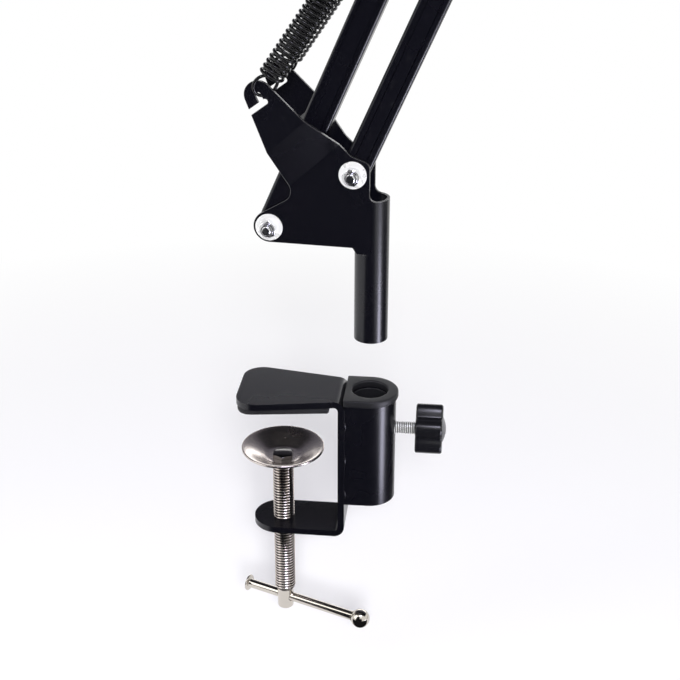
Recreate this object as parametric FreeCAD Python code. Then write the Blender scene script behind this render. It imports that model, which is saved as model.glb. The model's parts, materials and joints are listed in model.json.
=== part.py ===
"""Desk-clamped microphone boom arm: a C-clamp with a socket, and a two-stage spring arm lifted out of it.

Millimetres, +Z up. The origin lies on the desk face of the jaw pad, on the axis of the clamp screw.
+X runs from the jaw's tip to the socket. The arm is drawn in its own upright plane, with its origin
at the foot of the post, then swung about the post's axis and set above the socket.
"""
import FreeCAD, Part
import math
import os

Vec = FreeCAD.Vector
UP = Vec(0, 0, 1)
ACROSS = Vec(0, 1, 0)
ALONG = Vec(1, 0, 0)

# Clearances and the overrun of cuts
overrun = 1.0
running_gap = 0.05
seat_gap = 0.1
side_gap = 0.3
open_pivot_gap = 0.3

# Clamp frame, one strap of sheet
strap_sheet = 3.0
strap_width = 25.0
strap_bend = 5.0
jaw_height = 68.5
jaw_reach = 19.4
jaw_tip_width = 41.6
jaw_tip_round = 9.0
jaw_taper = 45.4
web_reach = 27.0
lower_end_reach = 14.0
lower_end_flat = 0.2
pad_thickness = 3.5
pad_inset = 0.6
pad_web_gap = 4.0

# Socket on the web
socket_reach = 40.5
socket_radius = 12.0
socket_height = 51.6
socket_floor = 3.0
cap_thickness = 3.4
cap_lip = 1.0
cap_rise = 1.0
cap_tuck = 0.6
cap_bore_gap = 0.6
liner_wall = 1.0
liner_split = 2.0

# Clamp screw, cup and T-bar
screw_radius = 5.0
screw_length = 73.0
screw_head_radius = 3.9
screw_head_length = 11.0
screw_neck_radius = 3.4
tip_flats = 9.0
tip_height = 1.8
cup_gap = 24.5
cup_radius = 19.3
cup_depth = 6.5
cup_floor_radius = 8.0
cup_sheet = 1.2
bar_radius = 2.25
bar_span = 62.4
bar_slide = 10.2
bar_turn = -22.0
bar_drop = 5.0
ball_radius = 4.6
button_radius = 4.0
button_thickness = 1.6

# Thumbscrew
stud_radius = 3.0
stud_bare = 9.4
thumb_drop = 19.0
knob_length = 12.2
knob_radius = 12.5
knob_lobe_radius = 3.6
knob_lobes = 6
knob_bore_depth = 9.0
knob_cap_radius = 6.0
knob_cap_rise = 1.6
knob_cap_seat = 2.0

# Post and cheeks, one sheet
sheet = 1.2
post_radius = 7.5
post_lift = 26.4
post_height = 66.0
post_seam = 0.4
trough_round = 3.0
cheek_foot = 42.0
foot_tab = 5.3
foot_chamfer = 1.9
high_pivot_back = 7.2
high_pivot_rise = 77.7
low_pivot_back = 43.7
low_pivot_rise = 51.9
lobe_radius = 7.0
lobe_edge_angle = 31.0
notch_round = 5.0
hook_back = 44.6
hook_rise = 112.6
hook_radius = 6.0
hook_edge_angle = 68.5
top_edge_angle = 44.0
shoulder_back = 8.2
shoulder_rise = 82.8
shoulder_round = 3.0
joggle_angle = 42.0
joggle_offset = 8.1
joggle_run = 17.5
ear_reach = 17.8
bend_round = 1.0
slot_width = 2.4
slot_run = 9.5
slot_run_side = 0.7
slot_end = 0.6
slot_end_side = 3.8
slot_turn = 1.9
slot_turn_side = 3.3

# Tubes and the hardware of a pivot
tube_size = 12.0
tube_wall = 1.0
tube_round = 1.5
tube_overhang = 5.6
lower_length = 330.0
upper_length = 300.0
lower_lean = 23.6
upper_rise = 10.0
sleeve_radius = 3.0
bolt_radius = 2.0
washer_radius = 6.0
washer_thickness = 0.8
nut_flats = 7.0
nut_height = 3.2
collar_radius = 2.9
collar_height = 1.6
bolt_proud = 0.9
head_height = 2.8

# Springs and the pins that carry their upper loops
wire_radius = 0.7
coil_radius = 4.75
coil_pitch = 2.7
lower_turns = 36
upper_turns = 14
loop_sweep = 200.0
coil_lead = 4.5
lead_turn = 45.0
loop_gap = 0.3
leg_share = 0.9
lower_pin_place = 192.0
upper_pin_place = 150.0
pin_radius = 2.5
spacer_radius = 4.0
pin_head_radius = 4.5
pin_head_length = 1.4
pin_slack = 0.5

# Elbow, head and microphone mount
elbow_back = 17.0
elbow_rise = 20.0
elbow_pair_back = 6.0
elbow_pair_rise = 28.0
elbow_hook_along = 40.0
elbow_hook_side = 26.0
elbow_joggle_angle = 34.0
elbow_joggle_offset = 9.0
tilt_reach = 30.0
tilt_drop = 6.0
barrel_radius = 7.0
neck_radius = 5.9
neck_length = 9.0
flange_radius = 11.0
flange_thickness = 3.0
thread_radius = 7.94
thread_length = 12.0

# The arm stands a little askew of the clamp
swing_at_rest = -5.2

# Levels and reaches that several pieces share
web_out = web_reach + strap_sheet
jaw_top = pad_thickness + strap_sheet
jaw_middle = jaw_top - jaw_height / 2
lower_jaw_top = jaw_top - jaw_height
cap_top = jaw_top + cap_rise
shell_top = cap_top - cap_thickness
shell_foot = shell_top - socket_height
bore_floor = shell_foot + socket_floor
liner_bore = post_radius + running_gap
liner_radius = liner_bore + liner_wall
post_foot = cap_top + post_lift
thumb_level = cap_top - thumb_drop
knob_start = socket_reach + socket_radius + stud_bare
cup_rim = -cup_gap
cup_floor = cup_rim - cup_depth
screw_top = cup_floor - seat_gap
thread_end = screw_top - screw_length
bar_level = thread_end - bar_drop
cheek_inner = post_radius - sheet
spring_reach = ear_reach - sheet / 2
tube_half = tube_size / 2
cut_reach = lower_length


def turned(angle):
    """Unit vector in the arm's plane, at an angle from +X towards +Z."""
    return Vec(math.cos(math.radians(angle)), 0, math.sin(math.radians(angle)))


def touching(centre, radius, angle):
    """The line along an angle that touches a circle on its right hand side."""
    return centre + turned(angle - 90) * radius, turned(angle)


def meet(first, second):
    """The point where two lines of the arm's plane cross."""
    (a, u), (b, v) = first, second
    gap = b - a
    return a + u * ((gap.x * v.z - gap.z * v.x) / (u.x * v.z - u.z * v.x))


def rounded_wire(corners):
    """A closed outline of straight edges whose corners, (point, radius), are rounded by tangent arcs."""
    ends = []
    for i, (point, radius) in enumerate(corners):
        back = (corners[i - 1][0] - point).normalize()
        ahead = (corners[(i + 1) % len(corners)][0] - point).normalize()
        half_angle = back.getAngle(ahead) / 2
        reach = radius / math.tan(half_angle)
        middle = point + (back + ahead).normalize() * (radius / math.sin(half_angle) - radius)
        ends.append((point + back * reach, middle, point + ahead * reach))
    edges = []
    for i, (start, middle, end) in enumerate(ends):
        if corners[i][1] > 0:
            edges.append(Part.Arc(start, middle, end).toShape())
        edges.append(Part.makeLine(end, ends[(i + 1) % len(ends)][0]))
    return Part.Wire(edges)


def prism(corners, start, travel):
    """A rounded outline, moved to its start and drawn out along a travel."""
    face = Part.Face(rounded_wire(corners))
    face.translate(start)
    return face.extrude(travel)


def rod(radius, start, end):
    """A round bar between two points."""
    return Part.makeCylinder(radius, start.distanceToPoint(end), start, end - start)


def ring(outer, inner, start, end):
    """A round sleeve between two points."""
    past = (end - start).normalize() * overrun
    return rod(outer, start, end).cut(rod(inner, start - past, end + past))


def hexagon(flats, start, travel):
    """A six-sided bar from a point, whose flats are this far apart, drawn out along Y or Z."""
    first = UP if abs(travel.y) > 0 else ALONG
    second = travel.cross(first).normalize()
    reach = flats / math.sqrt(3)
    angles = [math.radians(60 * k) for k in range(6)]
    corners = [(first * (reach * math.cos(a)) + second * (reach * math.sin(a)), 0) for a in angles]
    return prism(corners, start, travel)


def drilled(shape, points, radius):
    """The shape with round holes across the arm at these points."""
    for point in points:
        shape = shape.cut(rod(radius, point - ACROSS * cut_reach, point + ACROSS * cut_reach))
    return shape


def belt(points, radius):
    """Corners of the outline drawn tight round equal circles, given anticlockwise."""
    lines = []
    for i, point in enumerate(points):
        ahead = points[(i + 1) % len(points)] - point
        angle = math.degrees(math.atan2(ahead.z, ahead.x))
        lines.append(touching(point, radius, angle))
    return [(meet(lines[i - 1], lines[i]), radius) for i in range(len(lines))]


# The clamp
def jaw_plan(inset, back):
    """Plan of the upper jaw: wide and rounded at the tip, tapered, then as wide as the strap."""
    tip = jaw_tip_width / 2 - inset
    root = strap_width / 2 - inset
    front = inset - jaw_reach
    taper_end = jaw_taper - jaw_reach + inset
    right = [(Vec(back, root, 0), 0), (Vec(taper_end, root, 0), 0), (Vec(front, tip, 0), jaw_tip_round)]
    left = [(Vec(p.x, -p.y, 0), r) for p, r in reversed(right)]
    return right + left


def clamp_frame():
    """The strap's side view, drawn out across the jaw, then trimmed to its plan above and below."""
    inner_bend = strap_bend - strap_sheet
    lower_foot = lower_jaw_top - strap_sheet
    side = [(Vec(-jaw_reach, 0, jaw_top), 0), (Vec(web_out, 0, jaw_top), strap_bend),
            (Vec(web_out, 0, lower_foot), strap_bend), (Vec(-lower_end_reach, 0, lower_foot), 0),
            (Vec(-lower_end_reach, 0, lower_jaw_top), 0), (Vec(web_reach, 0, lower_jaw_top), inner_bend),
            (Vec(web_reach, 0, pad_thickness), inner_bend), (Vec(-jaw_reach, 0, pad_thickness), 0)]
    strap = prism(side, ACROSS * (-jaw_tip_width), ACROSS * (2 * jaw_tip_width))
    above = prism(jaw_plan(0, web_out + overrun), UP * jaw_middle, UP * jaw_height)
    half = strap_width / 2
    end_round = half - lower_end_flat / 2
    plan = [(Vec(-lower_end_reach, -half, 0), end_round), (Vec(web_out + overrun, -half, 0), 0),
            (Vec(web_out + overrun, half, 0), 0), (Vec(-lower_end_reach, half, 0), end_round)]
    below = prism(plan, UP * (jaw_middle - jaw_height), UP * jaw_height)
    trimmed = strap.common(above.fuse(below)).removeSplitter()
    return trimmed.cut(rod(screw_radius + running_gap, UP * thread_end, UP * cup_rim))


def jaw_pad():
    """The rubber pad under the upper jaw, inside the jaw's outline and cut square behind."""
    whole = prism(jaw_plan(pad_inset, web_out + overrun), Vec(0, 0, 0), UP * pad_thickness)
    corner = Vec(web_reach - pad_web_gap, -jaw_tip_width / 2, 0)
    return whole.cut(Part.makeBox(web_out, jaw_tip_width, pad_thickness, corner))


def socket_plan(lip, tuck):
    """The D of the socket: flat against the web, round about the post's axis."""
    radius = socket_radius + lip
    centre = Vec(socket_reach, 0, 0)
    flat = [Vec(web_out - tuck, radius, 0), Vec(web_out - tuck, -radius, 0)]
    low, high = centre - ACROSS * radius, centre + ACROSS * radius
    edges = [Part.makeLine(high, flat[0]), Part.makeLine(flat[0], flat[1]), Part.makeLine(flat[1], low),
             Part.Arc(low, centre + ALONG * radius, high).toShape()]
    return Part.Face(Part.Wire(edges))


def socket_body():
    """The D-shaped socket with its blind bore and the thumbscrew's cross hole."""
    centre = ALONG * socket_reach
    body = socket_plan(0, 0).extrude(UP * socket_height)
    body.translate(UP * shell_foot)
    body = body.cut(rod(liner_radius + running_gap, centre + UP * bore_floor, centre + UP * cap_top))
    level = centre + UP * thumb_level
    return body.cut(rod(stud_radius + running_gap, level, level + ALONG * (socket_radius + overrun)))


def socket_cap():
    """The lipped plastic plate on top of the socket."""
    plate = socket_plan(cap_lip, cap_tuck).extrude(UP * cap_thickness)
    plate.translate(UP * shell_top)
    centre = ALONG * socket_reach
    return plate.cut(rod(post_radius + cap_bore_gap, centre + UP * shell_foot, centre + UP * post_foot))


def socket_liner():
    """The split sleeve that turns in the socket with the post."""
    centre = ALONG * socket_reach
    low, high = bore_floor + seat_gap, shell_top - seat_gap
    sleeve = ring(liner_radius, liner_bore, centre + UP * low, centre + UP * high)
    slit = Part.makeBox(socket_radius, liner_split, 2 * socket_height,
                        Vec(socket_reach - socket_radius, -liner_split / 2, shell_foot))
    return sleeve.cut(slit)


def clamp_screw():
    """The clamp's screw: headed below for the T-bar, necked above for the cup and swaged over it."""
    neck_top = cup_floor + cup_sheet + seat_gap
    screw = rod(screw_radius, UP * thread_end, UP * screw_top)
    head = rod(screw_head_radius, UP * (thread_end - screw_head_length), UP * thread_end)
    neck = rod(screw_neck_radius, UP * screw_top, UP * neck_top)
    tip = hexagon(tip_flats, UP * neck_top, UP * tip_height)
    whole = screw.fuse([head, neck, tip])
    way = bar_direction() * bar_span
    return whole.cut(rod(bar_radius + running_gap, UP * bar_level - way, UP * bar_level + way))


def bar_direction():
    """The way the T-bar points, level and turned about the screw."""
    return Vec(math.cos(math.radians(bar_turn)), math.sin(math.radians(bar_turn)), 0)


def bar_ends():
    """The middles of the button and of the ball: the bar has slid through the screw's head."""
    middle = UP * bar_level + bar_direction() * bar_slide
    return [middle + bar_direction() * (bar_span / 2 * sign) for sign in (-1, 1)]


def t_bar():
    """The bar, headed by a flat button at one end and reaching the middle of the ball at the other."""
    headed, plain = bar_ends()
    half = bar_direction() * (button_thickness / 2)
    return rod(bar_radius, headed, plain).fuse(rod(button_radius, headed - half, headed + half))


def t_bar_ball():
    """The ball pressed on the bar's plain end."""
    headed, plain = bar_ends()
    return Part.makeSphere(ball_radius, plain).cut(rod(bar_radius, headed, plain))


def pressure_cup():
    """The dished cup: a flat floor, a flaring wall and a thin rim, turned about the screw."""
    hole = screw_neck_radius + running_gap
    wall = [Vec(hole, 0, cup_floor), Vec(cup_floor_radius, 0, cup_floor),
            Vec(cup_radius, 0, cup_rim - cup_sheet / 2), Vec(cup_radius, 0, cup_rim),
            Vec(cup_radius - cup_sheet, 0, cup_rim),
            Vec(cup_floor_radius - cup_sheet / 2, 0, cup_floor + cup_sheet),
            Vec(hole, 0, cup_floor + cup_sheet)]
    face = Part.Face(Part.makePolygon(wall + wall[:1]))
    return face.revolve(Vec(0, 0, 0), UP, 360)


# The thumbscrew
def thumb_axis(x):
    """A point on the thumbscrew's axis."""
    return Vec(x, 0, thumb_level)


def thumbscrew_stud():
    """The threaded stud, from just off the liner into the knob."""
    start = socket_reach + liner_radius + side_gap
    return rod(stud_radius, thumb_axis(start), thumb_axis(knob_start + knob_bore_depth))


def thumbscrew_knob():
    """The lobed knob: a hub with a ring of round lobes, bored for the stud and recessed for its cap."""
    end = knob_start + knob_length
    lobe_ring = knob_radius - knob_lobe_radius
    knob = rod(lobe_ring, thumb_axis(knob_start), thumb_axis(end))
    for k in range(knob_lobes):
        angle = 2 * math.pi * k / knob_lobes
        place = Vec(0, lobe_ring * math.sin(angle), lobe_ring * math.cos(angle))
        knob = knob.fuse(rod(knob_lobe_radius, thumb_axis(knob_start) + place, thumb_axis(end) + place))
    bore = rod(stud_radius, thumb_axis(knob_start - overrun), thumb_axis(knob_start + knob_bore_depth))
    recess = rod(knob_cap_radius + running_gap, thumb_axis(end - knob_cap_seat), thumb_axis(end + overrun))
    return knob.removeSplitter().cut(bore).cut(recess)


def thumbscrew_cap():
    """The domed disc that closes the knob's end."""
    end = knob_start + knob_length
    ball = (knob_cap_radius ** 2 + knob_cap_rise ** 2) / (2 * knob_cap_rise)
    dome = Part.makeSphere(ball, thumb_axis(end + knob_cap_rise - ball))
    return rod(knob_cap_radius, thumb_axis(end - knob_cap_seat), thumb_axis(end + knob_cap_rise)).common(dome)


# Places on the arm, in the arm's own plane
high_pivot = Vec(-high_pivot_back, 0, high_pivot_rise)
low_pivot = Vec(-low_pivot_back, 0, low_pivot_rise)
hook_eye = Vec(-hook_back, 0, hook_rise)
lower_way = turned(90 - lower_lean)
upper_way = turned(180 - upper_rise)
upper_side = turned(90 - upper_rise)
elbow_front = high_pivot + lower_way * lower_length
elbow_rear = low_pivot + lower_way * lower_length
elbow_under = elbow_front + Vec(-elbow_back, 0, elbow_rise)
elbow_over = elbow_under + Vec(elbow_pair_back, 0, elbow_pair_rise)
elbow_eye = elbow_over + upper_way * elbow_hook_along + upper_side * elbow_hook_side
head_under = elbow_under + upper_way * upper_length
head_over = elbow_over + upper_way * upper_length
tilt_pivot = head_under + Vec(-tilt_reach, 0, -tilt_drop)
lower_pin = low_pivot + lower_way * lower_pin_place
upper_pin = elbow_over + upper_way * upper_pin_place
base_pivots = [high_pivot, low_pivot]
elbow_pivots = [elbow_front, elbow_rear, elbow_under, elbow_over]
head_pivots = [head_under, head_over, tilt_pivot]


# Sheet cheeks
def joggled(corners, angle, first_bend, side):
    """A cheek: its outline, drawn across the arm, kept where a sheet with two parallel bends lies."""
    outward = turned(angle + 90)
    run = turned(angle) * cut_reach
    rise = ear_reach - post_radius
    shift = sheet * math.tan(math.atan2(rise, joggle_run) / 2)
    second_bend = first_bend + joggle_run
    track = [(-cut_reach, post_radius, 0), (first_bend, post_radius, bend_round),
             (second_bend, ear_reach, bend_round + sheet), (2 * cut_reach, ear_reach, 0),
             (2 * cut_reach, ear_reach - sheet, 0), (second_bend + shift, ear_reach - sheet, bend_round),
             (first_bend + shift, cheek_inner, bend_round + sheet), (-cut_reach, cheek_inner, 0)]
    section = [(outward * q + ACROSS * (y * side), r) for q, y, r in track]
    layer = prism(section, run * -2, run * 4)
    blank = prism(corners, Vec(0, 0, 0), ACROSS * (2 * ear_reach * side))
    return blank.common(layer)


def along(angle, point):
    """How far a point lies along the direction square to a pair of bends."""
    return turned(angle + 90).dot(point)


def stadium(start, end, width):
    """A slot with round ends, right across the arm."""
    reach = ACROSS * cut_reach
    way = (end - start).normalize()
    side = way.cross(ACROSS) * (width / 2)
    corners = [(p, 0) for p in (start - side, start + side, end + side, end - side)]
    slot = prism(corners, reach * -1, reach * 2)
    ends = [rod(width / 2, p - reach, p + reach) for p in (start, end)]
    return slot.fuse(ends)


def hook_slot(eye, pull, hand):
    """The slot that lets a spring's loop in, from behind the pull and round into a pocket at the eye."""
    side = pull.cross(ACROSS) * hand
    mouth = eye - pull * slot_run + side * slot_run_side
    end = eye - pull * slot_end + side * slot_end_side
    turn = eye - pull * slot_turn + side * slot_turn_side
    return stadium(mouth, end, slot_width).fuse(stadium(turn, eye, slot_width))


def base_outline():
    """The cheek's outline: foot tab, lobe round the low pivot, notch, hooked ear, sloping top, shoulder."""
    lobe_top = touching(low_pivot, -lobe_radius, lobe_edge_angle)
    floor = touching(low_pivot, lobe_radius, 0)
    top_edge = touching(hook_eye, -hook_radius, -top_edge_angle)
    shoulder = meet(top_edge, (Vec(-shoulder_back, 0, 0), UP))
    rear = touching(hook_eye, hook_radius, -hook_edge_angle)
    tab_top = meet(floor, (Vec(-foot_tab - foot_chamfer, 0, 0), UP))
    return [(Vec(0, 0, cheek_foot), 0), (Vec(-foot_tab, 0, cheek_foot), 0), (tab_top, 0),
            (meet(floor, lobe_top), lobe_radius), (meet(lobe_top, rear), notch_round),
            (meet(rear, top_edge), hook_radius), (shoulder, 0), (Vec(0, 0, shoulder_rise), shoulder_round)]


def base_bracket():
    """Post and cheeks: a rolled tube, a half tube beside the cheeks, and two cheeks with hooked ears."""
    foot, level, top = Vec(0, 0, 0), UP * cheek_foot, UP * post_height
    tube = ring(post_radius, cheek_inner, foot, level)
    seam = Part.makeBox(post_radius, post_seam, post_height, Vec(-2 * cheek_inner, -post_seam / 2, 0))
    trough = ring(post_radius, cheek_inner, level, top)
    front = Part.makeBox(2 * post_radius, 4 * post_radius, post_height, Vec(0, -2 * post_radius, 0))
    corner = Part.makeBox(trough_round, 4 * post_radius, trough_round, Vec(0, -2 * post_radius, post_height))
    scoop = drilled(corner, [Vec(trough_round, 0, post_height + trough_round)], trough_round)
    rounds = ring(post_radius, cheek_inner, level, top + UP * trough_round).common(scoop)
    first_bend = along(joggle_angle, low_pivot) + joggle_offset
    cheeks = [joggled(base_outline(), joggle_angle, first_bend, side) for side in (-1, 1)]
    whole = tube.cut(seam).fuse([trough.common(front), rounds] + cheeks).removeSplitter()
    whole = drilled(whole, base_pivots, bolt_radius + running_gap)
    return whole.cut(hook_slot(hook_eye, (lower_pin - hook_eye).normalize(), -1))


def elbow_plate(side):
    """A cheek of the elbow: four pivots and an ear for the upper spring."""
    outline = belt([elbow_rear, elbow_front, elbow_over, elbow_eye], lobe_radius)
    first_bend = along(elbow_joggle_angle, elbow_over) + elbow_joggle_offset
    plate = joggled(outline, elbow_joggle_angle, first_bend, side)
    plate = drilled(plate, elbow_pivots, bolt_radius + running_gap)
    return plate.cut(hook_slot(elbow_eye, (upper_pin - elbow_eye).normalize(), 1))


def head_plate(side):
    """A flat cheek of the head: two tube pivots and the tilt pivot."""
    outline = belt([tilt_pivot, head_under, head_over], lobe_radius)
    plate = prism(outline, ACROSS * (cheek_inner * side), ACROSS * (sheet * side))
    return drilled(plate, head_pivots, bolt_radius + running_gap)


# Pivot hardware, one of each at every pivot of a bracket
def sleeves(points):
    """The steel sleeves, tight between the cheeks, that the tubes turn on."""
    return Part.makeCompound([ring(sleeve_radius, bolt_radius + running_gap, p - ACROSS * cheek_inner,
                                   p + ACROSS * cheek_inner) for p in points])


def washers(points):
    """The large washers, one outside each cheek."""
    discs = []
    for p in points:
        for side in (-1, 1):
            face = p + ACROSS * (post_radius * side)
            back = face + ACROSS * (washer_thickness * side)
            discs.append(ring(washer_radius, bolt_radius + running_gap, face, back))
    return Part.makeCompound(discs)


def nuts(points):
    """The self-locking nuts, hexagon and round collar, on the near side."""
    shapes = []
    for p in points:
        seat = p - ACROSS * (post_radius + washer_thickness)
        collar = seat - ACROSS * nut_height
        end = collar - ACROSS * collar_height
        body = hexagon(nut_flats, seat, ACROSS * -nut_height).fuse(rod(collar_radius, collar, end))
        hole = rod(bolt_radius + running_gap, seat + ACROSS * overrun, end - ACROSS * overrun)
        shapes.append(body.cut(hole))
    return Part.makeCompound(shapes)


def bolts(points):
    """The bolts, headed on the far side and a little proud of the nuts."""
    shapes = []
    for p in points:
        seat = p + ACROSS * (post_radius + washer_thickness)
        end = p - ACROSS * (post_radius + washer_thickness + nut_height + collar_height + bolt_proud)
        shapes.append(rod(bolt_radius, end, seat).fuse(hexagon(nut_flats, seat, ACROSS * head_height)))
    return Part.makeCompound(shapes)


# Tubes
def square_tube(foot, way, length, pivot_gaps, pin):
    """A square tube between two pivots, drilled for their sleeves and for a spring pin where it has one."""
    side = way.cross(ACROSS)
    start = foot - way * tube_overhang
    travel = way * (length + 2 * tube_overhang)
    shells = []
    for half, radius in ((tube_half, tube_round), (tube_half - tube_wall, tube_round - tube_wall)):
        signs = ((-1, -1), (1, -1), (1, 1), (-1, 1))
        corners = [(side * (half * a) + ACROSS * (half * b), radius) for a, b in signs]
        shells.append(prism(corners, start, travel))
    tube = shells[0].cut(shells[1])
    for place, gap in zip((foot, foot + way * length), pivot_gaps):
        tube = drilled(tube, [place], sleeve_radius + gap)
    return drilled(tube, [pin] if pin else [], pin_radius + running_gap)


# Springs
def biarc(start, start_way, end, end_way):
    """Two arcs that leave one point and reach another along given directions, as (start, middle, end)."""
    gap = end - start
    total = start_way + end_way
    spread = 2 * (1 - start_way.dot(end_way))
    push = gap.dot(total)
    reach = (math.sqrt(push ** 2 + spread * gap.dot(gap)) - push) / spread
    first, second = start + start_way * reach, end - end_way * reach
    joint = (first + second) / 2
    return [arc_between(start, first, joint), arc_between(joint, second, end)]


def arc_between(start, corner, end):
    """The arc that touches both sides of a corner, as (start, middle, end)."""
    chord_middle = (start + end) / 2
    half_chord = start.distanceToPoint(end) / 2
    reach = start.distanceToPoint(corner)
    radius = reach * half_chord / math.sqrt(reach ** 2 - half_chord ** 2)
    sag = radius * (1 - half_chord / reach)
    return start, chord_middle + (corner - chord_middle).normalize() * sag, end


def end_loop(centre, side, out, leg):
    """The straight leg beside a spring's axis, its loop and the loop's straight end, going outwards."""
    def place(angle):
        a = math.radians(angle)
        return centre + side * (coil_radius * math.cos(a)) + out * (coil_radius * math.sin(a))
    quarters = [loop_sweep * k / 4 for k in range(5)]
    arcs = [(place(quarters[k]), place(quarters[k + 1]), place(quarters[k + 2])) for k in (0, 2)]
    last = math.radians(loop_sweep)
    way = out * math.cos(last) - side * math.sin(last)
    tail = (place(loop_sweep), None, place(loop_sweep) + way * (2 * wire_radius))
    foot = place(0) - out * leg
    return [(foot, None, place(0))] + arcs + [tail], foot


def spring_path(hook, pin, turns, reach):
    """The wire's line: a loop in the hook, the coil, a long leg and a loop round the pin."""
    hook, pin = hook + ACROSS * reach, pin + ACROSS * reach
    axis = (pin - hook).normalize()
    flat = axis.cross(ACROSS)
    length = hook.distanceToPoint(pin)
    pin_centre = pin + axis * (pin_radius + wire_radius + loop_gap - coil_radius)
    hook_centre = hook + axis * coil_radius
    coil_start = coil_radius + coil_lead
    coil_end = coil_start + turns * coil_pitch
    leg = (hook.distanceToPoint(pin_centre) - coil_end - coil_lead) * leg_share

    def on_coil(angle):
        turn = math.radians(angle)
        radial = ACROSS * math.cos(turn) + flat * math.sin(turn)
        tangent = flat * (coil_radius * math.cos(turn)) - ACROSS * (coil_radius * math.sin(turn))
        rise = coil_start + coil_pitch * (angle - lead_turn) / 360
        place = hook + axis * rise + radial * coil_radius
        return place, (tangent + axis * (coil_pitch / math.tau)).normalize()

    stops = [lead_turn + 180 * k for k in range(2 * turns + 1)]
    coil = []
    for low, high in zip(stops, stops[1:]):
        coil += biarc(*on_coil(low), *on_coil(high))
    lower, foot = end_loop(hook_centre, ACROSS, axis * -1, 0)
    start_lead = biarc(foot, axis, *on_coil(stops[0]))
    last = math.radians(stops[-1] + lead_turn)
    side = ACROSS * math.cos(last) + flat * math.sin(last)
    upper, top = end_loop(pin_centre, side, axis, leg)
    end_lead = biarc(*on_coil(stops[-1]), top, axis)
    lower = [(c, b, a) for a, b, c in reversed(lower) if a.distanceToPoint(c) > 0]
    return lower + start_lead + coil + end_lead + upper


def spring(name, hook, pin, turns, reach):
    """A spring's wire as one tube along its path; prints its least gap to itself and its tightest bend."""
    path = spring_path(hook, pin, turns, reach)
    edges = [Part.makeLine(a, c) if b is None else Part.Arc(a, b, c).toShape() for a, b, c in path]
    shares = [k / 6 for k in range(6)]
    points = []
    for e in edges:
        span = e.LastParameter - e.FirstParameter
        points += [e.valueAt(e.FirstParameter + span * t) for t in shares]
    half_turn = math.pi * coil_radius
    travelled = [0.0]
    for a, b in zip(points, points[1:]):
        travelled.append(travelled[-1] + a.distanceToPoint(b))
    least = min(points[i].distanceToPoint(points[j]) for i in range(len(points)) for j in range(i)
                if travelled[i] - travelled[j] > half_turn)
    tightest = min(e.Curve.Radius for e in edges if hasattr(e.Curve, "Radius"))
    print(name, "least gap", round(least - 2 * wire_radius, 2), "tightest bend", round(tightest, 2))
    start = path[0]
    profile = Part.Wire([Part.makeCircle(wire_radius, start[0], start[2] - start[0])])
    return Part.Wire(edges).makePipeShell([profile], True, False)


def spring_pin(place):
    """The headed pin across a tube that carries the springs' upper loops."""
    end = spring_reach + wire_radius + pin_slack
    shaft = rod(pin_radius, place - ACROSS * end, place + ACROSS * end)
    heads = [rod(pin_head_radius, place + ACROSS * (end * s), place + ACROSS * ((end + pin_head_length) * s))
             for s in (-1, 1)]
    return shaft.fuse(heads)


def spring_spacers(place):
    """The sleeves that keep the loops out from the tube."""
    end = spring_reach - wire_radius - pin_slack
    return Part.makeCompound([ring(spacer_radius, pin_radius + running_gap, place + ACROSS * (tube_half * s),
                                   place + ACROSS * (end * s)) for s in (-1, 1)])


# The microphone mount
def mic_swivel():
    """The barrel that tilts on its sleeve, and the neck that carries the stud."""
    reach = cheek_inner - side_gap
    barrel = rod(barrel_radius, tilt_pivot - ACROSS * reach, tilt_pivot + ACROSS * reach)
    neck = rod(neck_radius, tilt_pivot, tilt_pivot - ALONG * (barrel_radius + neck_length))
    return drilled(barrel.fuse(neck), [tilt_pivot], sleeve_radius + running_gap)


def mic_stud():
    """The flanged stud of the microphone's thread."""
    root = tilt_pivot - ALONG * (barrel_radius + neck_length)
    seat = root - ALONG * flange_thickness
    return rod(flange_radius, root, seat).fuse(rod(thread_radius, seat, seat - ALONG * thread_length))


clamp_nodes = {
    "clamp_frame": clamp_frame(),
    "jaw_pad": jaw_pad(),
    "socket_body": socket_body(),
    "socket_cap": socket_cap(),
    "socket_liner": socket_liner(),
    "clamp_screw": clamp_screw(),
    "pressure_cup": pressure_cup(),
    "t_bar": t_bar(),
    "t_bar_ball": t_bar_ball(),
    "thumbscrew_stud": thumbscrew_stud(),
    "thumbscrew_knob": thumbscrew_knob(),
    "thumbscrew_cap": thumbscrew_cap(),
}

fixed, loose = running_gap, open_pivot_gap
arm_nodes = {
    "base_bracket": base_bracket(),
    "lower_tube_front": square_tube(high_pivot, lower_way, lower_length, (fixed, fixed), None),
    "lower_tube_rear": square_tube(low_pivot, lower_way, lower_length, (fixed, loose), lower_pin),
    "upper_tube_under": square_tube(elbow_under, upper_way, upper_length, (fixed, fixed), None),
    "upper_tube_over": square_tube(elbow_over, upper_way, upper_length, (fixed, loose), upper_pin),
    "mic_swivel": mic_swivel(),
    "mic_stud": mic_stud(),
}
for label, side in (("near", -1), ("far", 1)):
    arm_nodes["elbow_plate_" + label] = elbow_plate(side)
    arm_nodes["head_plate_" + label] = head_plate(side)
    arm_nodes["lower_spring_" + label] = spring("lower_spring_" + label, hook_eye, lower_pin, lower_turns,
                                                spring_reach * side)
    arm_nodes["upper_spring_" + label] = spring("upper_spring_" + label, elbow_eye, upper_pin, upper_turns,
                                                spring_reach * side)
for label, place in (("lower", lower_pin), ("upper", upper_pin)):
    arm_nodes[label + "_spring_pin"] = spring_pin(place)
    arm_nodes[label + "_spring_spacers"] = spring_spacers(place)
for label, pivots in (("base", base_pivots), ("elbow", elbow_pivots), ("head", head_pivots)):
    arm_nodes[label + "_sleeves"] = sleeves(pivots)
    arm_nodes[label + "_washers"] = washers(pivots)
    arm_nodes[label + "_nuts"] = nuts(pivots)
    arm_nodes[label + "_bolts"] = bolts(pivots)
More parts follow.
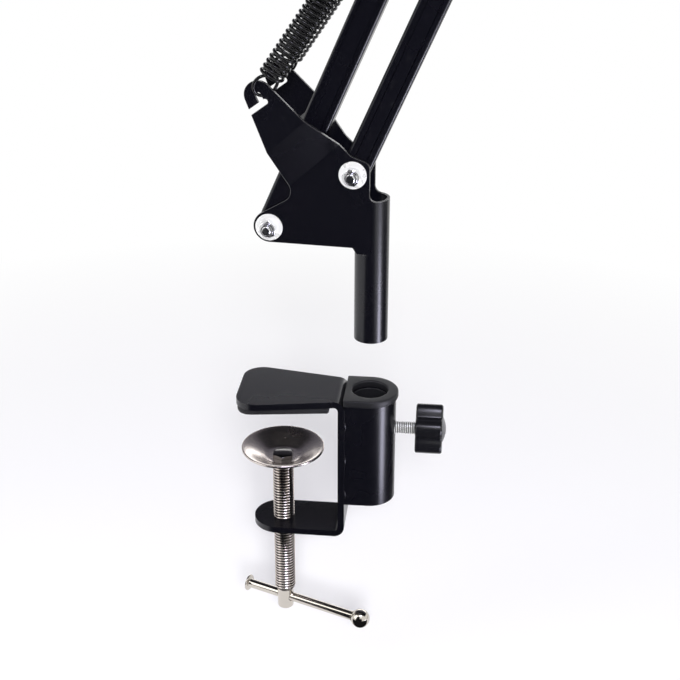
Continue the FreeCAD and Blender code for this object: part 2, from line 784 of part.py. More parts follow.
for shape in arm_nodes.values():
    shape.rotate(Vec(0, 0, 0), UP, swing_at_rest)
    shape.translate(Vec(socket_reach, 0, post_foot))

os.makedirs("parts", exist_ok=True)
for name, shape in {**clamp_nodes, **arm_nodes}.items():
    shape.exportStep("parts/" + name + ".step")
    print(name, len(shape.Solids), shape.isValid(), round(shape.Volume, 1))
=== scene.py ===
import json
import math

import bmesh
import bpy
import numpy as np
from bpy.props import FloatProperty, FloatVectorProperty, IntProperty, PointerProperty
from mathutils import Matrix, Vector


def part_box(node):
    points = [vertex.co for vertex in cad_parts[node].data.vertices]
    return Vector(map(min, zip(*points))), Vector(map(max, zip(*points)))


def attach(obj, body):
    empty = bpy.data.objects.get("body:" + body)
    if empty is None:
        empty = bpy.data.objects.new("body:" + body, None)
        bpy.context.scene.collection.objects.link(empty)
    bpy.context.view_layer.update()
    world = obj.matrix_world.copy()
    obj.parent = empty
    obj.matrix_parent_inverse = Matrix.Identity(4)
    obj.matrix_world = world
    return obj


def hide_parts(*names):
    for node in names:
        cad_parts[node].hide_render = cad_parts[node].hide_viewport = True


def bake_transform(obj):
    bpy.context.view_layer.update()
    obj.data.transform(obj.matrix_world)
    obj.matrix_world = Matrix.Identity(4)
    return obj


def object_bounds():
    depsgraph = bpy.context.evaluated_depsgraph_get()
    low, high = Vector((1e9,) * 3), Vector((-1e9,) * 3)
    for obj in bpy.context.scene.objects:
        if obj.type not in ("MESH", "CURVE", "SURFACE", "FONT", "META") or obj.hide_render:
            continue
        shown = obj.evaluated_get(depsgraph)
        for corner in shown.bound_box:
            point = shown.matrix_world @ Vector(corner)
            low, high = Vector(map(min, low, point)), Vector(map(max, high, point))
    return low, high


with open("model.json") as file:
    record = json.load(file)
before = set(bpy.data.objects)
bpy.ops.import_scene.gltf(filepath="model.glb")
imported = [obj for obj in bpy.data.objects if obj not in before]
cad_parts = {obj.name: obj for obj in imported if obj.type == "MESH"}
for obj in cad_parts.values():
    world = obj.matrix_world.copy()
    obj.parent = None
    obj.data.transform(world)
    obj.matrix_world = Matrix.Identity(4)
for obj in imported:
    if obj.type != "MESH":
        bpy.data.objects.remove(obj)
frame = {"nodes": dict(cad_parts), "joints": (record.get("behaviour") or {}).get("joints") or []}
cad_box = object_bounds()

bl_info = {
    "name": "Desk Boom Arm",
    "version": (1, 0, 0),
    "blender": (4, 5, 0),
    "location": "View3D > Sidebar > Boom Arm",
    "description": "Dresses a desk-clamped spring boom arm and its studio",
    "category": "Object",
}

MM = 0.001
TAU = 2 * math.pi
WHITE = (1.0, 1.0, 1.0, 1.0)
JOINTS = {j["name"]: j for j in frame["joints"]}
UP = np.array([0.0, 0.0, 1.0])
ACROSS = np.array(JOINTS["lower_fold"]["axis"])
ALONG = np.cross(ACROSS, UP)


def joint_place(name):
    """Where a joint's axis stands, in the row frame."""
    return np.array(JOINTS[name]["pos_m"])


def middle(node):
    """The middle of a solid's box."""
    return np.mean([tuple(corner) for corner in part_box(node)], axis=0)


def unit(v):
    """A vector, or each row of an array of them, at length one."""
    return v / np.linalg.norm(v, axis=-1, keepdims=True)


def assign(thing, **settings):
    """Sets several of a thing's values and gives it back."""
    for key, value in settings.items():
        setattr(thing, key, value)
    return thing


def linked(name, data, **settings):
    """A new object in the scene with its settings."""
    holder = assign(bpy.data.objects.new(name, data), **settings)
    bpy.context.scene.collection.objects.link(holder)
    return holder


def length_prop(label, words, value):
    """A length in metres with its label, words and default."""
    return FloatProperty(name=label, description=words, default=value, min=0.0, unit="LENGTH", precision=5)


def colour_prop(label, words, value):
    """A linear colour with its label, words and default."""
    return FloatVectorProperty(name=label, description=words, default=value, min=0.0, max=1.0, size=3,
                               subtype="COLOR")


class BOOM_sizes(bpy.types.PropertyGroup):
    """Sizes of the pieces that are made here."""
    wire_radius: length_prop("Wire radius", "Half the thickness of the spring wire", 0.7 * MM)
    coil_radius: length_prop("Coil radius", "From a coil's axis to the middle of its wire", 4.75 * MM)
    coil_pitch: length_prop("Coil pitch", "Rise of a spring in one turn", 2.43 * MM)
    lower_turns: IntProperty(name="Lower turns", description="Turns of each lower spring", default=40, min=4)
    upper_turns: IntProperty(name="Upper turns", description="Turns of each upper spring", default=15, min=4)
    coil_lead: length_prop("Coil lead", "Rise from a loop to the first full turn", 4.5 * MM)
    pin_radius: length_prop("Pin radius", "Half the thickness of a spring pin", 2.5 * MM)
    loop_gap: length_prop("Loop gap", "Play between a loop and its pin", 0.3 * MM)
    spring_reach: length_prop("Spring reach", "From the arm's plane to a spring's axis", 17.2 * MM)
    screw_radius: length_prop("Screw radius", "Outer radius of the clamp screw's thread", 5.0 * MM)
    screw_pitch: length_prop("Screw pitch", "Rise of the clamp screw in one turn", 1.5 * MM)
    screw_head: length_prop("Screw head radius", "Radius of the plain head that holds the bar", 3.9 * MM)
    stud_radius: length_prop("Stud radius", "Outer radius of the thumbscrew's thread", 3.0 * MM)
    stud_pitch: length_prop("Stud pitch", "Rise of the thumbscrew in one turn", 1.0 * MM)
    bar_radius: length_prop("Bar radius", "Half the thickness of the sliding bar", 2.25 * MM)
    bar_span: length_prop("Bar span", "From the middle of the bar's button to the middle of its ball", 62.4 * MM)
    ball_radius: length_prop("Ball radius", "Radius of the ball on the bar's plain end", 4.6 * MM)
    button_radius: length_prop("Button radius", "Radius of the flat button on the bar's other end", 4.0 * MM)
    cup_sheet: length_prop("Cup sheet", "Thickness of the pressure cup's sheet", 1.2 * MM)
    knob_scallop: length_prop("Scallop depth", "How far the knob's scallops lie inside its lobes", 2.7 * MM)
    pad_round: length_prop("Pad rounding", "Rounding of the rubber pad's edges", 1.5 * MM)
    loop_turn: FloatProperty(name="Loop turn", description="How far a spring's hook loop is turned about the coil",
                             default=math.radians(57.0), subtype="ANGLE")
    bolt_radius: length_prop("Bolt radius", "Outer radius of a pivot bolt's thread", 2.0 * MM)
    nut_flats: length_prop("Nut flats", "Distance across the flats of a nut", 7.0 * MM)
    washer_radius: length_prop("Washer radius", "Outer radius of a pivot washer", 6.0 * MM)
    edge_round: length_prop("Edge rounding", "Rounding of the coated sheet's edges", 0.4 * MM)
    # Painted highlight: width of the lightened band along the plates' edges
    edge_highlight_width: length_prop("Edge highlight width", "Width over which the plates' edges get a painted highlight", 0.5 * MM)
    mount_radius: length_prop("Mount radius", "Outer radius of the microphone stud's thread", 7.94 * MM)
    mount_pitch: length_prop("Mount pitch", "Rise of the microphone stud in one turn", 0.94 * MM)
    mount_length: length_prop("Mount length", "Reach of the microphone stud from its flange", 12.0 * MM)
    flange_radius: length_prop("Flange radius", "Radius of the microphone stud's flange", 11.0 * MM)
    flange_thick: length_prop("Flange thickness", "Thickness of the microphone stud's flange", 3.0 * MM)


class BOOM_colours(bpy.types.PropertyGroup):
    """Colours of the finishes and of the stage."""
    coat: colour_prop("Coat", "Black powder coat on sheet and tubes", (0.0026, 0.0026, 0.0050))
    wire: colour_prop("Wire", "Black enamel on the spring wire", (0.005, 0.005, 0.0055))
    nickel: colour_prop("Nickel", "Warm nickel plate on the screw, bar and cup", (0.66, 0.60, 0.56))
    zinc: colour_prop("Zinc", "Bright zinc plate on the fasteners", (0.80, 0.80, 0.81))
    satin: colour_prop("Satin zinc", "Pale zinc on washers and studs", (0.90, 0.90, 0.90))
    # The swaged tip is coloured far darker than the nickel on the rest of the screw
    tip: colour_prop("Screw tip", "Dark colour of the screw's swaged tip", (0.10, 0.095, 0.095))
    stud: colour_prop("Stud", "Plated steel of the microphone stud", (0.46, 0.46, 0.48))
    rubber: colour_prop("Rubber", "Moulded rubber of the jaw pad", (0.011, 0.011, 0.013))
    plastic: colour_prop("Plastic", "Matte black moulding", (0.009, 0.009, 0.011))
    gloss: colour_prop("Gloss plastic", "Glossy black moulding of the knob", (0.006, 0.006, 0.008))
    cap: colour_prop("Knob cap", "Grey disc in the knob's end", (0.16, 0.16, 0.17))
    floor: colour_prop("Floor", "Pale studio floor", (0.95, 0.95, 0.96))
    card: colour_prop("Card", "Black card that darkens reflections", (0.012, 0.012, 0.014))
    glow: colour_prop("Card glow", "Cool light of the studio's cards", (0.82, 0.81, 1.0))
    sky: colour_prop("Surroundings", "Cool light from all round", (0.94, 0.91, 1.0))
    # Painted highlight: a light colour put on the plates' edges, where light would catch them
    edge_highlight_colour: colour_prop("Painted edge highlight", "Painted highlight that lightens the coat along the plates' edges", (0.12, 0.12, 0.12))


def sizes():
    """The size settings of this scene."""
    return bpy.context.scene.boom_sizes


def colours():
    """The colour settings of this scene."""
    return bpy.context.scene.boom_colours


# Shader groups and materials
def opaque(colour):
    """A colour with full alpha, as a socket takes it."""
    return (*colour, 1.0)


class Nodes:
    """Places nodes in an emptied tree and links them, left to right."""
    SPACING = 180

    def __init__(self, tree):
        tree.nodes.clear()
        self.tree = tree
        self.count = 0

    def add(self, kind, inputs=(), **settings):
        """A node with its settings and its inputs, which are values or sockets."""
        node = assign(self.tree.nodes.new(kind), location=(self.SPACING * self.count, 0), **settings)
        self.count += 1
        for key, value in dict(inputs).items():
            if isinstance(value, bpy.types.NodeSocket):
                self.tree.links.new(value, node.inputs[key])
            else:
                node.inputs[key].default_value = value
        return node

    def ramp(self, value, low, high, start, end):
        """A value stretched from one range to another and clipped there."""
        return self.add("ShaderNodeMapRange", {"Value": value, "From Min": low, "From Max": high, "To Min": start,
                                               "To Max": end}).outputs["Result"]

    def math(self, operation, first, second):
        """Two values worked into one."""
        return self.add("ShaderNodeMath", {0: first, 1: second}, operation=operation).outputs[0]

    def vector(self, operation, *inputs):
        """The outputs of a node that works on vectors."""
        return self.add("ShaderNodeVectorMath", dict(enumerate(inputs)), operation=operation).outputs

    def mix(self, share, first, second):
        """A colour between two others."""
        return self.add("ShaderNodeMix", {0: share, 6: first, 7: second}, data_type="RGBA").outputs[2]

    def noise(self, place, scale, detail):
        """A noise about one half."""
        return self.add("ShaderNodeTexNoise", {"Vector": place, "Scale": scale, "Detail": detail}).outputs["Fac"]

    def place(self):
        """The object's own coordinates."""
        return self.add("ShaderNodeTexCoord").outputs["Object"]

    def group(self, name, values):
        """The outputs of a shared group, given its values."""
        return self.add("ShaderNodeGroup", values, node_tree=bpy.data.node_groups[name]).outputs


def new_material(name):
    """A material with no nodes yet, and their maker."""
    material = bpy.data.materials.new(name)
    material.use_nodes = True
    return material, Nodes(material.node_tree)


def new_group(name, inputs, outputs):
    """An empty shader group; inputs are (name, default), vectors or floats, and outputs are names of floats."""
    group = bpy.data.node_groups.new(name, "ShaderNodeTree")
    for label, value in inputs:
        kind = "NodeSocketVector" if isinstance(value, tuple) else "NodeSocketFloat"
        group.interface.new_socket(label, in_out="INPUT", socket_type=kind).default_value = value
    for label in outputs:
        group.interface.new_socket(label, in_out="OUTPUT", socket_type="NodeSocketFloat")
    nodes = Nodes(group)
    return nodes, nodes.add("NodeGroupInput").outputs


def grain_group():
    """Surface grain: a fine and a broad noise on the object's own coordinates, as a height and a slow variation."""
    nodes, given = new_group("Surface grain", [("Fine Scale", 1500.0), ("Broad Scale", 40.0)],
                             ["Height", "Variation"])
    place = nodes.place()
    nodes.add("NodeGroupOutput", {"Height": nodes.noise(place, given["Fine Scale"], 3.0),
                                  "Variation": nodes.noise(place, given["Broad Scale"], 4.0)})


def rub_group():
    """Handling marks: fine scratches from a stretched noise, kept where a broad noise is high, as a mask."""
    nodes, given = new_group("Handling marks", [("Scale", 300.0), ("Patch Scale", 45.0), ("Amount", 0.5)], ["Mask"])
    place = nodes.place()
    drawn = nodes.add("ShaderNodeMapping", {"Vector": place, "Rotation": (0.3, 0.5, 0.8), "Scale": (1.0, 9.0, 1.0)})
    lines = nodes.ramp(nodes.noise(drawn.outputs["Vector"], given["Scale"], 5.0), 0.60, 0.72, 0.0, 1.0)
    patch = nodes.ramp(nodes.noise(place, given["Patch Scale"], 2.0), 0.45, 0.65, 0.0, 1.0)
    mask = nodes.math("MULTIPLY", nodes.math("MULTIPLY", lines, patch), given["Amount"])
    nodes.add("NodeGroupOutput", {"Mask": mask})


def thread_shade_group():
    """Painted shade in the root of a thread: the distance from an axis, the length of (place - centre) x axis, as a
    mask that is one at the crest, zero at the root and one again in the core, where a flat end shows. The colour is
    darkened where the mask is low."""
    nodes, given = new_group("Painted thread root shade", [("Centre", (0.0, 0.0, 0.0)), ("Axis", (0.0, 0.0, 1.0)), ("Root", 0.0),
                                              ("Crest", 1.0)], ["Mask"])
    arm = nodes.vector("SUBTRACT", nodes.place(), given["Centre"])[0]
    away = nodes.vector("LENGTH", nodes.vector("CROSS_PRODUCT", arm, given["Axis"])[0])["Value"]
    flank = nodes.ramp(away, given["Root"], given["Crest"], 0.0, 1.0)
    inside = [nodes.math("MULTIPLY", given["Root"], share) for share in (0.90, 0.97)]
    mask = nodes.math("MAXIMUM", flank, nodes.ramp(away, *inside, 1.0, 0.0))
    nodes.add("NodeGroupOutput", {"Mask": mask})


def finish_material(name, colour, rough, *, metallic=0.0, ior=1.45, tone=0.15, marks=0.0, mark_tone=0.3, fine=1500.0,
                    broad=40.0, bump=0.05, depth=0.04 * MM, rough_spread=0.06, turned_share=0.0, thread=None,
                    edge=None):
    """A finish: its colour varied slowly, scratched by handling, with grain in its roughness and its bump. With a
    turned share, its reflections are drawn out across tool marks that run round the Z axis. A thread, given by its
    centre, axis, root and crest, gets painted shade: its colour is darkened down in the thread's root. An edge
    gives the width and colour of a painted highlight along corners: the mask falls with the cosine between the true
    normal and one rounded over that width."""
    # Painted shade: the root of a thread is darkened to this share of the colour
    root_shade_share = 0.10
    material, nodes = new_material(name)
    material.diffuse_color = opaque(colour)
    grain = nodes.group("Surface grain", {"Fine Scale": fine, "Broad Scale": broad})
    rub = nodes.group("Handling marks", {"Amount": marks})
    dark, light = (opaque(min(1.0, c * share) for c in colour) for share in (1 - tone, 1 + tone))
    scratched = opaque((c + mark_tone) / 2 for c in colour)
    base = nodes.mix(rub["Mask"], nodes.mix(grain["Variation"], dark, light), scratched)
    # Painted highlight: convex corners are lightened toward the given colour, standing in for light caught by the
    # edges
    if edge:
        width, highlight_colour = edge
        rounded = nodes.add("ShaderNodeBevel", {"Radius": width}, samples=6).outputs["Normal"]
        true = nodes.add("ShaderNodeNewGeometry").outputs["True Normal"]
        facing = nodes.vector("DOT_PRODUCT", rounded, true)["Value"]
        base = nodes.mix(nodes.ramp(facing, 0.80, 0.98, 1.0, 0.0), base, opaque(highlight_colour))
    # Painted shade: the root of a thread is darkened, standing in for the shade that falls there
    if thread:
        root_shade = nodes.group("Painted thread root shade", dict(zip(("Centre", "Axis", "Root", "Crest"), thread)))
        base = nodes.mix(root_shade["Mask"], opaque(c * root_shade_share for c in colour), base)
    spread = nodes.ramp(grain["Variation"], 0.3, 0.7, rough - rough_spread, rough + rough_spread)
    height = nodes.add("ShaderNodeBump", {"Height": grain["Height"], "Strength": bump, "Distance": depth})
    shader = nodes.add("ShaderNodeBsdfPrincipled", {
        "Base Color": base, "Roughness": spread, "Metallic": metallic, "IOR": ior,
        "Normal": height.outputs["Normal"], "Anisotropic": turned_share})
    if turned_share:
        tangent = nodes.add("ShaderNodeTangent", direction_type="RADIAL", axis="Z").outputs["Tangent"]
        nodes.tree.links.new(tangent, shader.inputs["Tangent"])
    nodes.add("ShaderNodeOutputMaterial", {"Surface": shader.outputs["BSDF"]})


def make_materials():
    """Every finish of the arm, by name."""
    grain_group()
    rub_group()
    thread_shade_group()
    c, s = colours(), sizes()
    coat = dict(ior=1.48, tone=0.2, fine=2600.0, broad=18.0, bump=0.16, depth=0.05 * MM, marks=0.25, mark_tone=0.05,
                rough_spread=0.015)
    nickel = dict(metallic=1.0, tone=0.05, fine=2400.0, broad=90.0, bump=0.06, depth=0.03 * MM, marks=0.5,
                  mark_tone=0.35, rough_spread=0.05)
    zinc = dict(metallic=1.0, tone=0.08, fine=2600.0, broad=160.0, bump=0.08, depth=0.03 * MM, marks=0.5,
                mark_tone=0.4, rough_spread=0.05)
    satin = {**zinc, "tone": 0.06, "bump": 0.10, "mark_tone": 0.5}
    turned_nickel = {**nickel, "bump": 0.05, "marks": 0.4, "rough_spread": 0.03, "turned_share": 0.5}
    stud_level = middle("thumbscrew_stud")[2]
    # Centres, axes, root and crest radii for the painted shade in the threads
    screw_root_shade = ((0.0, 0.0, 0.0), (0.0, 0.0, 1.0), s.screw_radius - 0.522 * s.screw_pitch, s.screw_radius)
    stud_root_shade = ((0.0, 0.0, stud_level), (1.0, 0.0, 0.0), s.stud_radius - 0.45 * s.stud_pitch, s.stud_radius)
    mount_root_shade = (tuple(joint_place("mic_tilt")), tuple(ALONG), s.mount_radius - 0.5 * s.mount_pitch,
                    s.mount_radius)
    finish_material("powder_coat", c.coat, 0.27, **coat)
    # plate_coat carries the painted highlight along the plates' edges
    finish_material("plate_coat", c.coat, 0.27, **coat, edge=(s.edge_highlight_width, c.edge_highlight_colour))
    finish_material("wire_enamel", c.wire, 0.15, ior=1.36, tone=0.1, fine=1200.0, marks=0.2, mark_tone=0.08)
    finish_material("nickel_plate", c.nickel, 0.14, **nickel)
    finish_material("threaded_nickel", c.nickel, 0.16, **nickel, thread=screw_root_shade)
    finish_material("swaged_tip", c.tip, 0.22, **{**nickel, "tone": 0.1, "mark_tone": 0.2})
    finish_material("turned_nickel", c.nickel, 0.25, **turned_nickel)
    finish_material("zinc_plate", c.zinc, 0.20, **zinc)
    finish_material("satin_zinc", c.satin, 0.32, **{**satin, "metallic": 0.4, "rough_spread": 0.07})
    finish_material("threaded_zinc", c.satin, 0.30, **{**satin, "metallic": 0.5}, thread=stud_root_shade)
    finish_material("threaded_stud", c.stud, 0.24, **zinc, thread=mount_root_shade)
    finish_material("pad_rubber", c.rubber, 0.62, tone=0.35, broad=200.0, bump=0.5, depth=0.2 * MM)
    finish_material("matte_plastic", c.plastic, 0.46, tone=0.2, fine=3200.0, broad=60.0, bump=0.25, depth=0.05 * MM)
    finish_material("gloss_plastic", c.gloss, 0.25, ior=1.48, tone=0.1, fine=900.0, broad=30.0, bump=0.04, marks=0.3,
                    mark_tone=0.06)
    finish_material("cap_plastic", c.cap, 0.30, ior=1.46, tone=0.08, fine=900.0, broad=60.0, marks=0.3)


# Surfaces worked out as arrays
def grid_faces(rows, columns, wrap):
    """Quads between the rows of a grid; with wrap, the last column joins the first."""
    index = np.arange(rows * columns).reshape(rows, columns)
    right = np.roll(index, -1, axis=1) if wrap else index[:, 1:]
    left = index if wrap else index[:, :-1]
    return np.stack([left[:-1], right[:-1], right[1:], left[1:]], axis=-1).reshape(-1, 4)


def fan_faces(ring, pole, forward):
    """Triangles from a ring of vertices to one pole."""
    ahead = np.roll(ring, -1)
    pair = (ring, ahead) if forward else (ahead, ring)
    return np.stack([*pair, np.full_like(ring, pole)], axis=-1)


def closed_grid(points):
    """A tube of points (rows, columns, 3), wrapped round its columns, its two ends closed by a pole each."""
    rows, columns = points.shape[:2]
    body = points.reshape(-1, 3)
    poles = np.stack([points[0].mean(0), points[-1].mean(0)])
    first = np.arange(columns)
    quads = grid_faces(rows, columns, True)
    start = fan_faces(first, rows * columns, False)
    end = fan_faces(first + (rows - 1) * columns, rows * columns + 1, True)
    return np.concatenate([body, poles]), [quads, start, end]


def ring_grid(points):
    """A grid of points wrapped both ways, as a turned ring is."""
    rows, columns = points.shape[:2]
    index = np.arange(rows * columns).reshape(rows, columns)
    right, down = np.roll(index, -1, axis=1), np.roll(index, -1, axis=0)
    quads = np.stack([index, right, np.roll(right, -1, axis=0), down], axis=-1).reshape(-1, 4)
    return points.reshape(-1, 3), [quads]


def round_angles(steps):
    """Angles of a full turn in even steps, without the last, which is the first again."""
    return np.linspace(0.0, TAU, steps, endpoint=False)


def turned(heights, radii, steps=48):
    """A shape turned about Z: radius r at height h, with r(h) alone or r(h, angle) as a whole grid."""
    angle = round_angles(steps)
    radii = np.broadcast_to(np.reshape(radii, (len(heights), -1)), (len(heights), steps))
    high = np.broadcast_to(np.reshape(heights, (-1, 1)), radii.shape)
    return np.stack([radii * np.cos(angle), radii * np.sin(angle), high], axis=-1)


def turned_line(line, steps):
    """A shape turned about Z from a line of (radius, height) points."""
    return turned(line[:, 1], line[:, 0], steps)


def threaded(outer, depth, pitch, start, end, steps=48):
    """A screw thread about Z as a lattice sheared along its helix. A row of phase p in turn k stands at height
    start + pitch (k - 1 + p + angle / turn), held between the ends; its radius is outer - depth (1 - share), where
    the share of each phase makes root, flank and crest and falls to the root within a pitch of both ends. The last
    column joins the first one turn further on, and the points that meet at the ends merge."""
    phases = np.array([0.0, 0.12, 0.40, 0.46, 0.62, 0.68])
    shares = np.array([0.0, 0.0, 0.93, 1.0, 1.0, 0.93])
    turns = math.ceil((end - start) / pitch) + 2
    rise = (np.arange(turns)[:, None] + phases).reshape(-1, 1) - 1.0
    column = np.arange(steps) / steps
    high = start + pitch * (rise + column)
    fade = np.clip(np.minimum(high - start, end - high) / pitch, 0.0, 1.0)
    radii = outer - depth * (1.0 - np.tile(shares, turns)[:, None] * fade)
    angle = TAU * column
    grid = np.stack([radii * np.cos(angle), radii * np.sin(angle), np.clip(high, start, end)], axis=-1)
    rows, turn = len(rise), len(phases)
    index = np.arange(rows * steps).reshape(rows, steps)
    seam = np.stack([index[:-turn - 1, -1], index[turn:-1, 0], index[turn + 1:, 0], index[1:-turn, -1]], axis=-1)
    poles = np.array([[0.0, 0.0, start], [0.0, 0.0, end]])
    caps = [fan_faces(index[0], rows * steps, False), fan_faces(index[-1], rows * steps + 1, True)]
    return np.concatenate([grid.reshape(-1, 3), poles]), [grid_faces(rows, steps, False), seam, *caps]


def bend(a, corner, b, count):
    """Quadratic bends from a to b about their corners, (1 - t)^2 a + 2 t (1 - t) corner + t^2 b, end to end."""
    t = np.linspace(0.0, 1.0, count).reshape(1, -1, 1)
    bends = (1 - t) ** 2 * a[:, None] + 2 * t * (1 - t) * corner[:, None] + t ** 2 * b[:, None]
    return bends.reshape(-1, 2)


def rounded_profile(corners, radius, count=4):
    """An open line of (radius, height) corners with its inner corners rounded by quadratic bends."""
    p = np.array(corners, float)
    back, ahead = p[:-2] - p[1:-1], p[2:] - p[1:-1]
    lengths = [np.linalg.norm(v, axis=1, keepdims=True) for v in (back, ahead)]
    reach = np.minimum(radius, 0.45 * np.minimum(*lengths))
    a, b = (p[1:-1] + v / length * reach for v, length in zip((back, ahead), lengths))
    return np.concatenate([p[:1], bend(a, p[1:-1], b, count), p[-1:]])


def round_corners(corners, radii, count=9):
    """A closed outline of (x, y) corners, each rounded by a quadratic bend that starts its radius away."""
    p = np.array(corners, float)
    reach = np.array(radii, float)[:, None]
    a, b = (p + unit(np.roll(p, step, axis=0) - p) * reach for step in (1, -1))
    return bend(a, p, b, count)


def hexagon_radii(steps, flats):
    """Polar radius of a hexagon: half its flats over the cosine of the angle from the nearest flat."""
    return flats / 2 / np.cos(np.mod(round_angles(steps) + TAU / 12, TAU / 6) - TAU / 12)


def axes_matrix(origin, axis, side):
    """Rows that carry local X, Y, Z to side, axis x side and axis, with the origin they start from."""
    axis = unit(np.asarray(axis, float))
    side = unit(side - axis * np.dot(side, axis))
    return np.stack([side, np.cross(axis, side), axis]), np.asarray(origin, float)


def carried(shape, frames):
    """Copies of a local shape (points, faces) at each of the frames, joined in one."""
    points, faces = shape
    copies = [points @ turn + origin for turn, origin in frames]
    shifted = [f + k * len(points) for k in range(len(frames)) for f in faces]
    return np.concatenate(copies), shifted


def joined(*shapes):
    """Several shapes as one list of points and faces."""
    offsets = np.cumsum([0] + [len(s[0]) for s in shapes])
    return np.concatenate([s[0] for s in shapes]), [f + o for s, o in zip(shapes, offsets) for f in s[1]]


def smooth_shaded(mesh, sharpest):
    """Shades a mesh smooth, apart from edges sharper than an angle in degrees."""
    mesh.polygons.foreach_set("use_smooth", np.ones(len(mesh.polygons), bool))
    mesh.set_sharp_from_angle(angle=math.radians(sharpest))


def mesh_object(name, shape):
    """A linked mesh object from points and faces."""
    points, faces = shape
    mesh = bpy.data.meshes.new(name)
    mesh.from_pydata(points.tolist(), [], [face for part in faces for face in part.tolist()])
    return linked(name, mesh)


def make_piece(name, shape, material, body, nodes=(), blend=None, sharpest=35.0):
    """A piece from points and faces, given its finish, its body and the solids it stands for. Points that
    lie on each other merge, which closes seams and threads."""
    piece = mesh_object(name, shape)
    mesh = piece.data
    merged = bmesh.new()
    merged.from_mesh(mesh)
    bmesh.ops.remove_doubles(merged, verts=merged.verts, dist=0.0005 * MM)
    merged.to_mesh(mesh)
    merged.free()
    mesh.validate()
    mesh.materials.append(bpy.data.materials[material])
    smooth_shaded(mesh, sharpest)
    if blend:
        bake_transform(piece)
    else:
        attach(piece, body)
    if nodes:
        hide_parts(*nodes)
    return piece


# Springs
def spring_tube(hook, pin, turns):
    """A spring's wire as two tubes, its hook end and the rest, that meet where the coil begins. Its line has a
    straight end, a loop about the hook, a lead on the coil's cylinder, a helix, a lead out, a straight leg and a loop
    about the pin. The hook's loop is turned about the coil, so that it passes slantwise through the ear. Each ring of
    the tube stands on N and B, square to the line."""
    loop_steps, turn_steps, leg_steps, wire_sides = 28, 26, 12, 12
    lead, pin_sweep, hook_sweep = (math.radians(a) for a in (45.0, 200.0, 238.0))
    s = sizes()
    radius, wire = s.coil_radius, s.wire_radius
    axis = unit(pin - hook)
    flat = np.cross(axis, ACROSS)
    begin = -s.loop_turn
    last = lead + TAU * turns
    climb = turns * s.coil_pitch / (last - lead - begin)
    pin_centre = np.dot(pin - hook, axis) + s.pin_radius + wire + s.loop_gap - radius

    def radial(angle):
        return np.cos(angle)[:, None] * ACROSS + np.sin(angle)[:, None] * flat

    def cylinder(angle, high):
        return hook + high[:, None] * axis + radius * radial(angle)

    def loop(centre, side, out, angle):
        return hook + centre * axis + radius * (np.cos(angle)[:, None] * side + np.sin(angle)[:, None] * out)

    t = np.linspace(0.0, 1.0, loop_steps, endpoint=False)
    end_fall = 2 * lead * climb

    def lead_rise(share):
        return (2 * s.coil_lead - end_fall) * share + (end_fall - s.coil_lead) * share ** 2

    coil_start = radius + s.coil_lead
    coil_end = coil_start + turns * s.coil_pitch
    coil_angle = np.linspace(begin + lead, last, turn_steps * turns, endpoint=False)
    side_start, side_end = radial(np.array([begin, last + lead]))
    first = loop(radius, side_start, -axis, hook_sweep * (1 - t))
    tail_way, tail_long = unit(first[0] - first[1]), 2 * wire
    tail = first[0] + np.linspace(1.0, 0.0, 3, endpoint=False)[:, None] * tail_way * tail_long
    leg_angle = np.full(leg_steps, last + lead)
    leg_high = np.linspace(coil_end + s.coil_lead, pin_centre, leg_steps, endpoint=False)
    upper = loop(pin_centre, side_end, axis, np.linspace(0.0, pin_sweep, loop_steps))
    end_tail = upper[-1] + np.linspace(0.0, 1.0, 4)[1:, None] * unit(upper[-1] - upper[-2]) * tail_long
    lower_loop = np.concatenate([tail, first])
    upper_loop = np.concatenate([upper, end_tail])
    angles = np.concatenate([begin + lead * t ** 2, coil_angle, last + lead * (1 - (1 - t) ** 2), leg_angle])
    highs = np.concatenate([radius + lead_rise(t), coil_start + (coil_angle - begin - lead) * climb,
                            coil_end + s.coil_lead - lead_rise(1 - t), leg_high])
    line = np.concatenate([lower_loop, cylinder(angles, highs), upper_loop])
    way = unit(np.gradient(line, axis=0))
    n_low, n_high = len(lower_loop), len(upper_loop)
    across = np.concatenate([np.cross(way[:n_low], np.cross(axis, side_start)), -radial(angles),
                             np.cross(way[-n_high:], np.cross(axis, side_end))])
    across = unit(across - way * np.sum(across * way, axis=1, keepdims=True))
    normal = np.cross(across, way)
    ring = round_angles(wire_sides)[:, None]
    tube = line[:, None] + wire * (np.cos(ring) * normal[:, None] + np.sin(ring) * across[:, None])
    coil_row = n_low + len(t)
    return closed_grid(tube[:coil_row + 1]), closed_grid(tube[coil_row:])


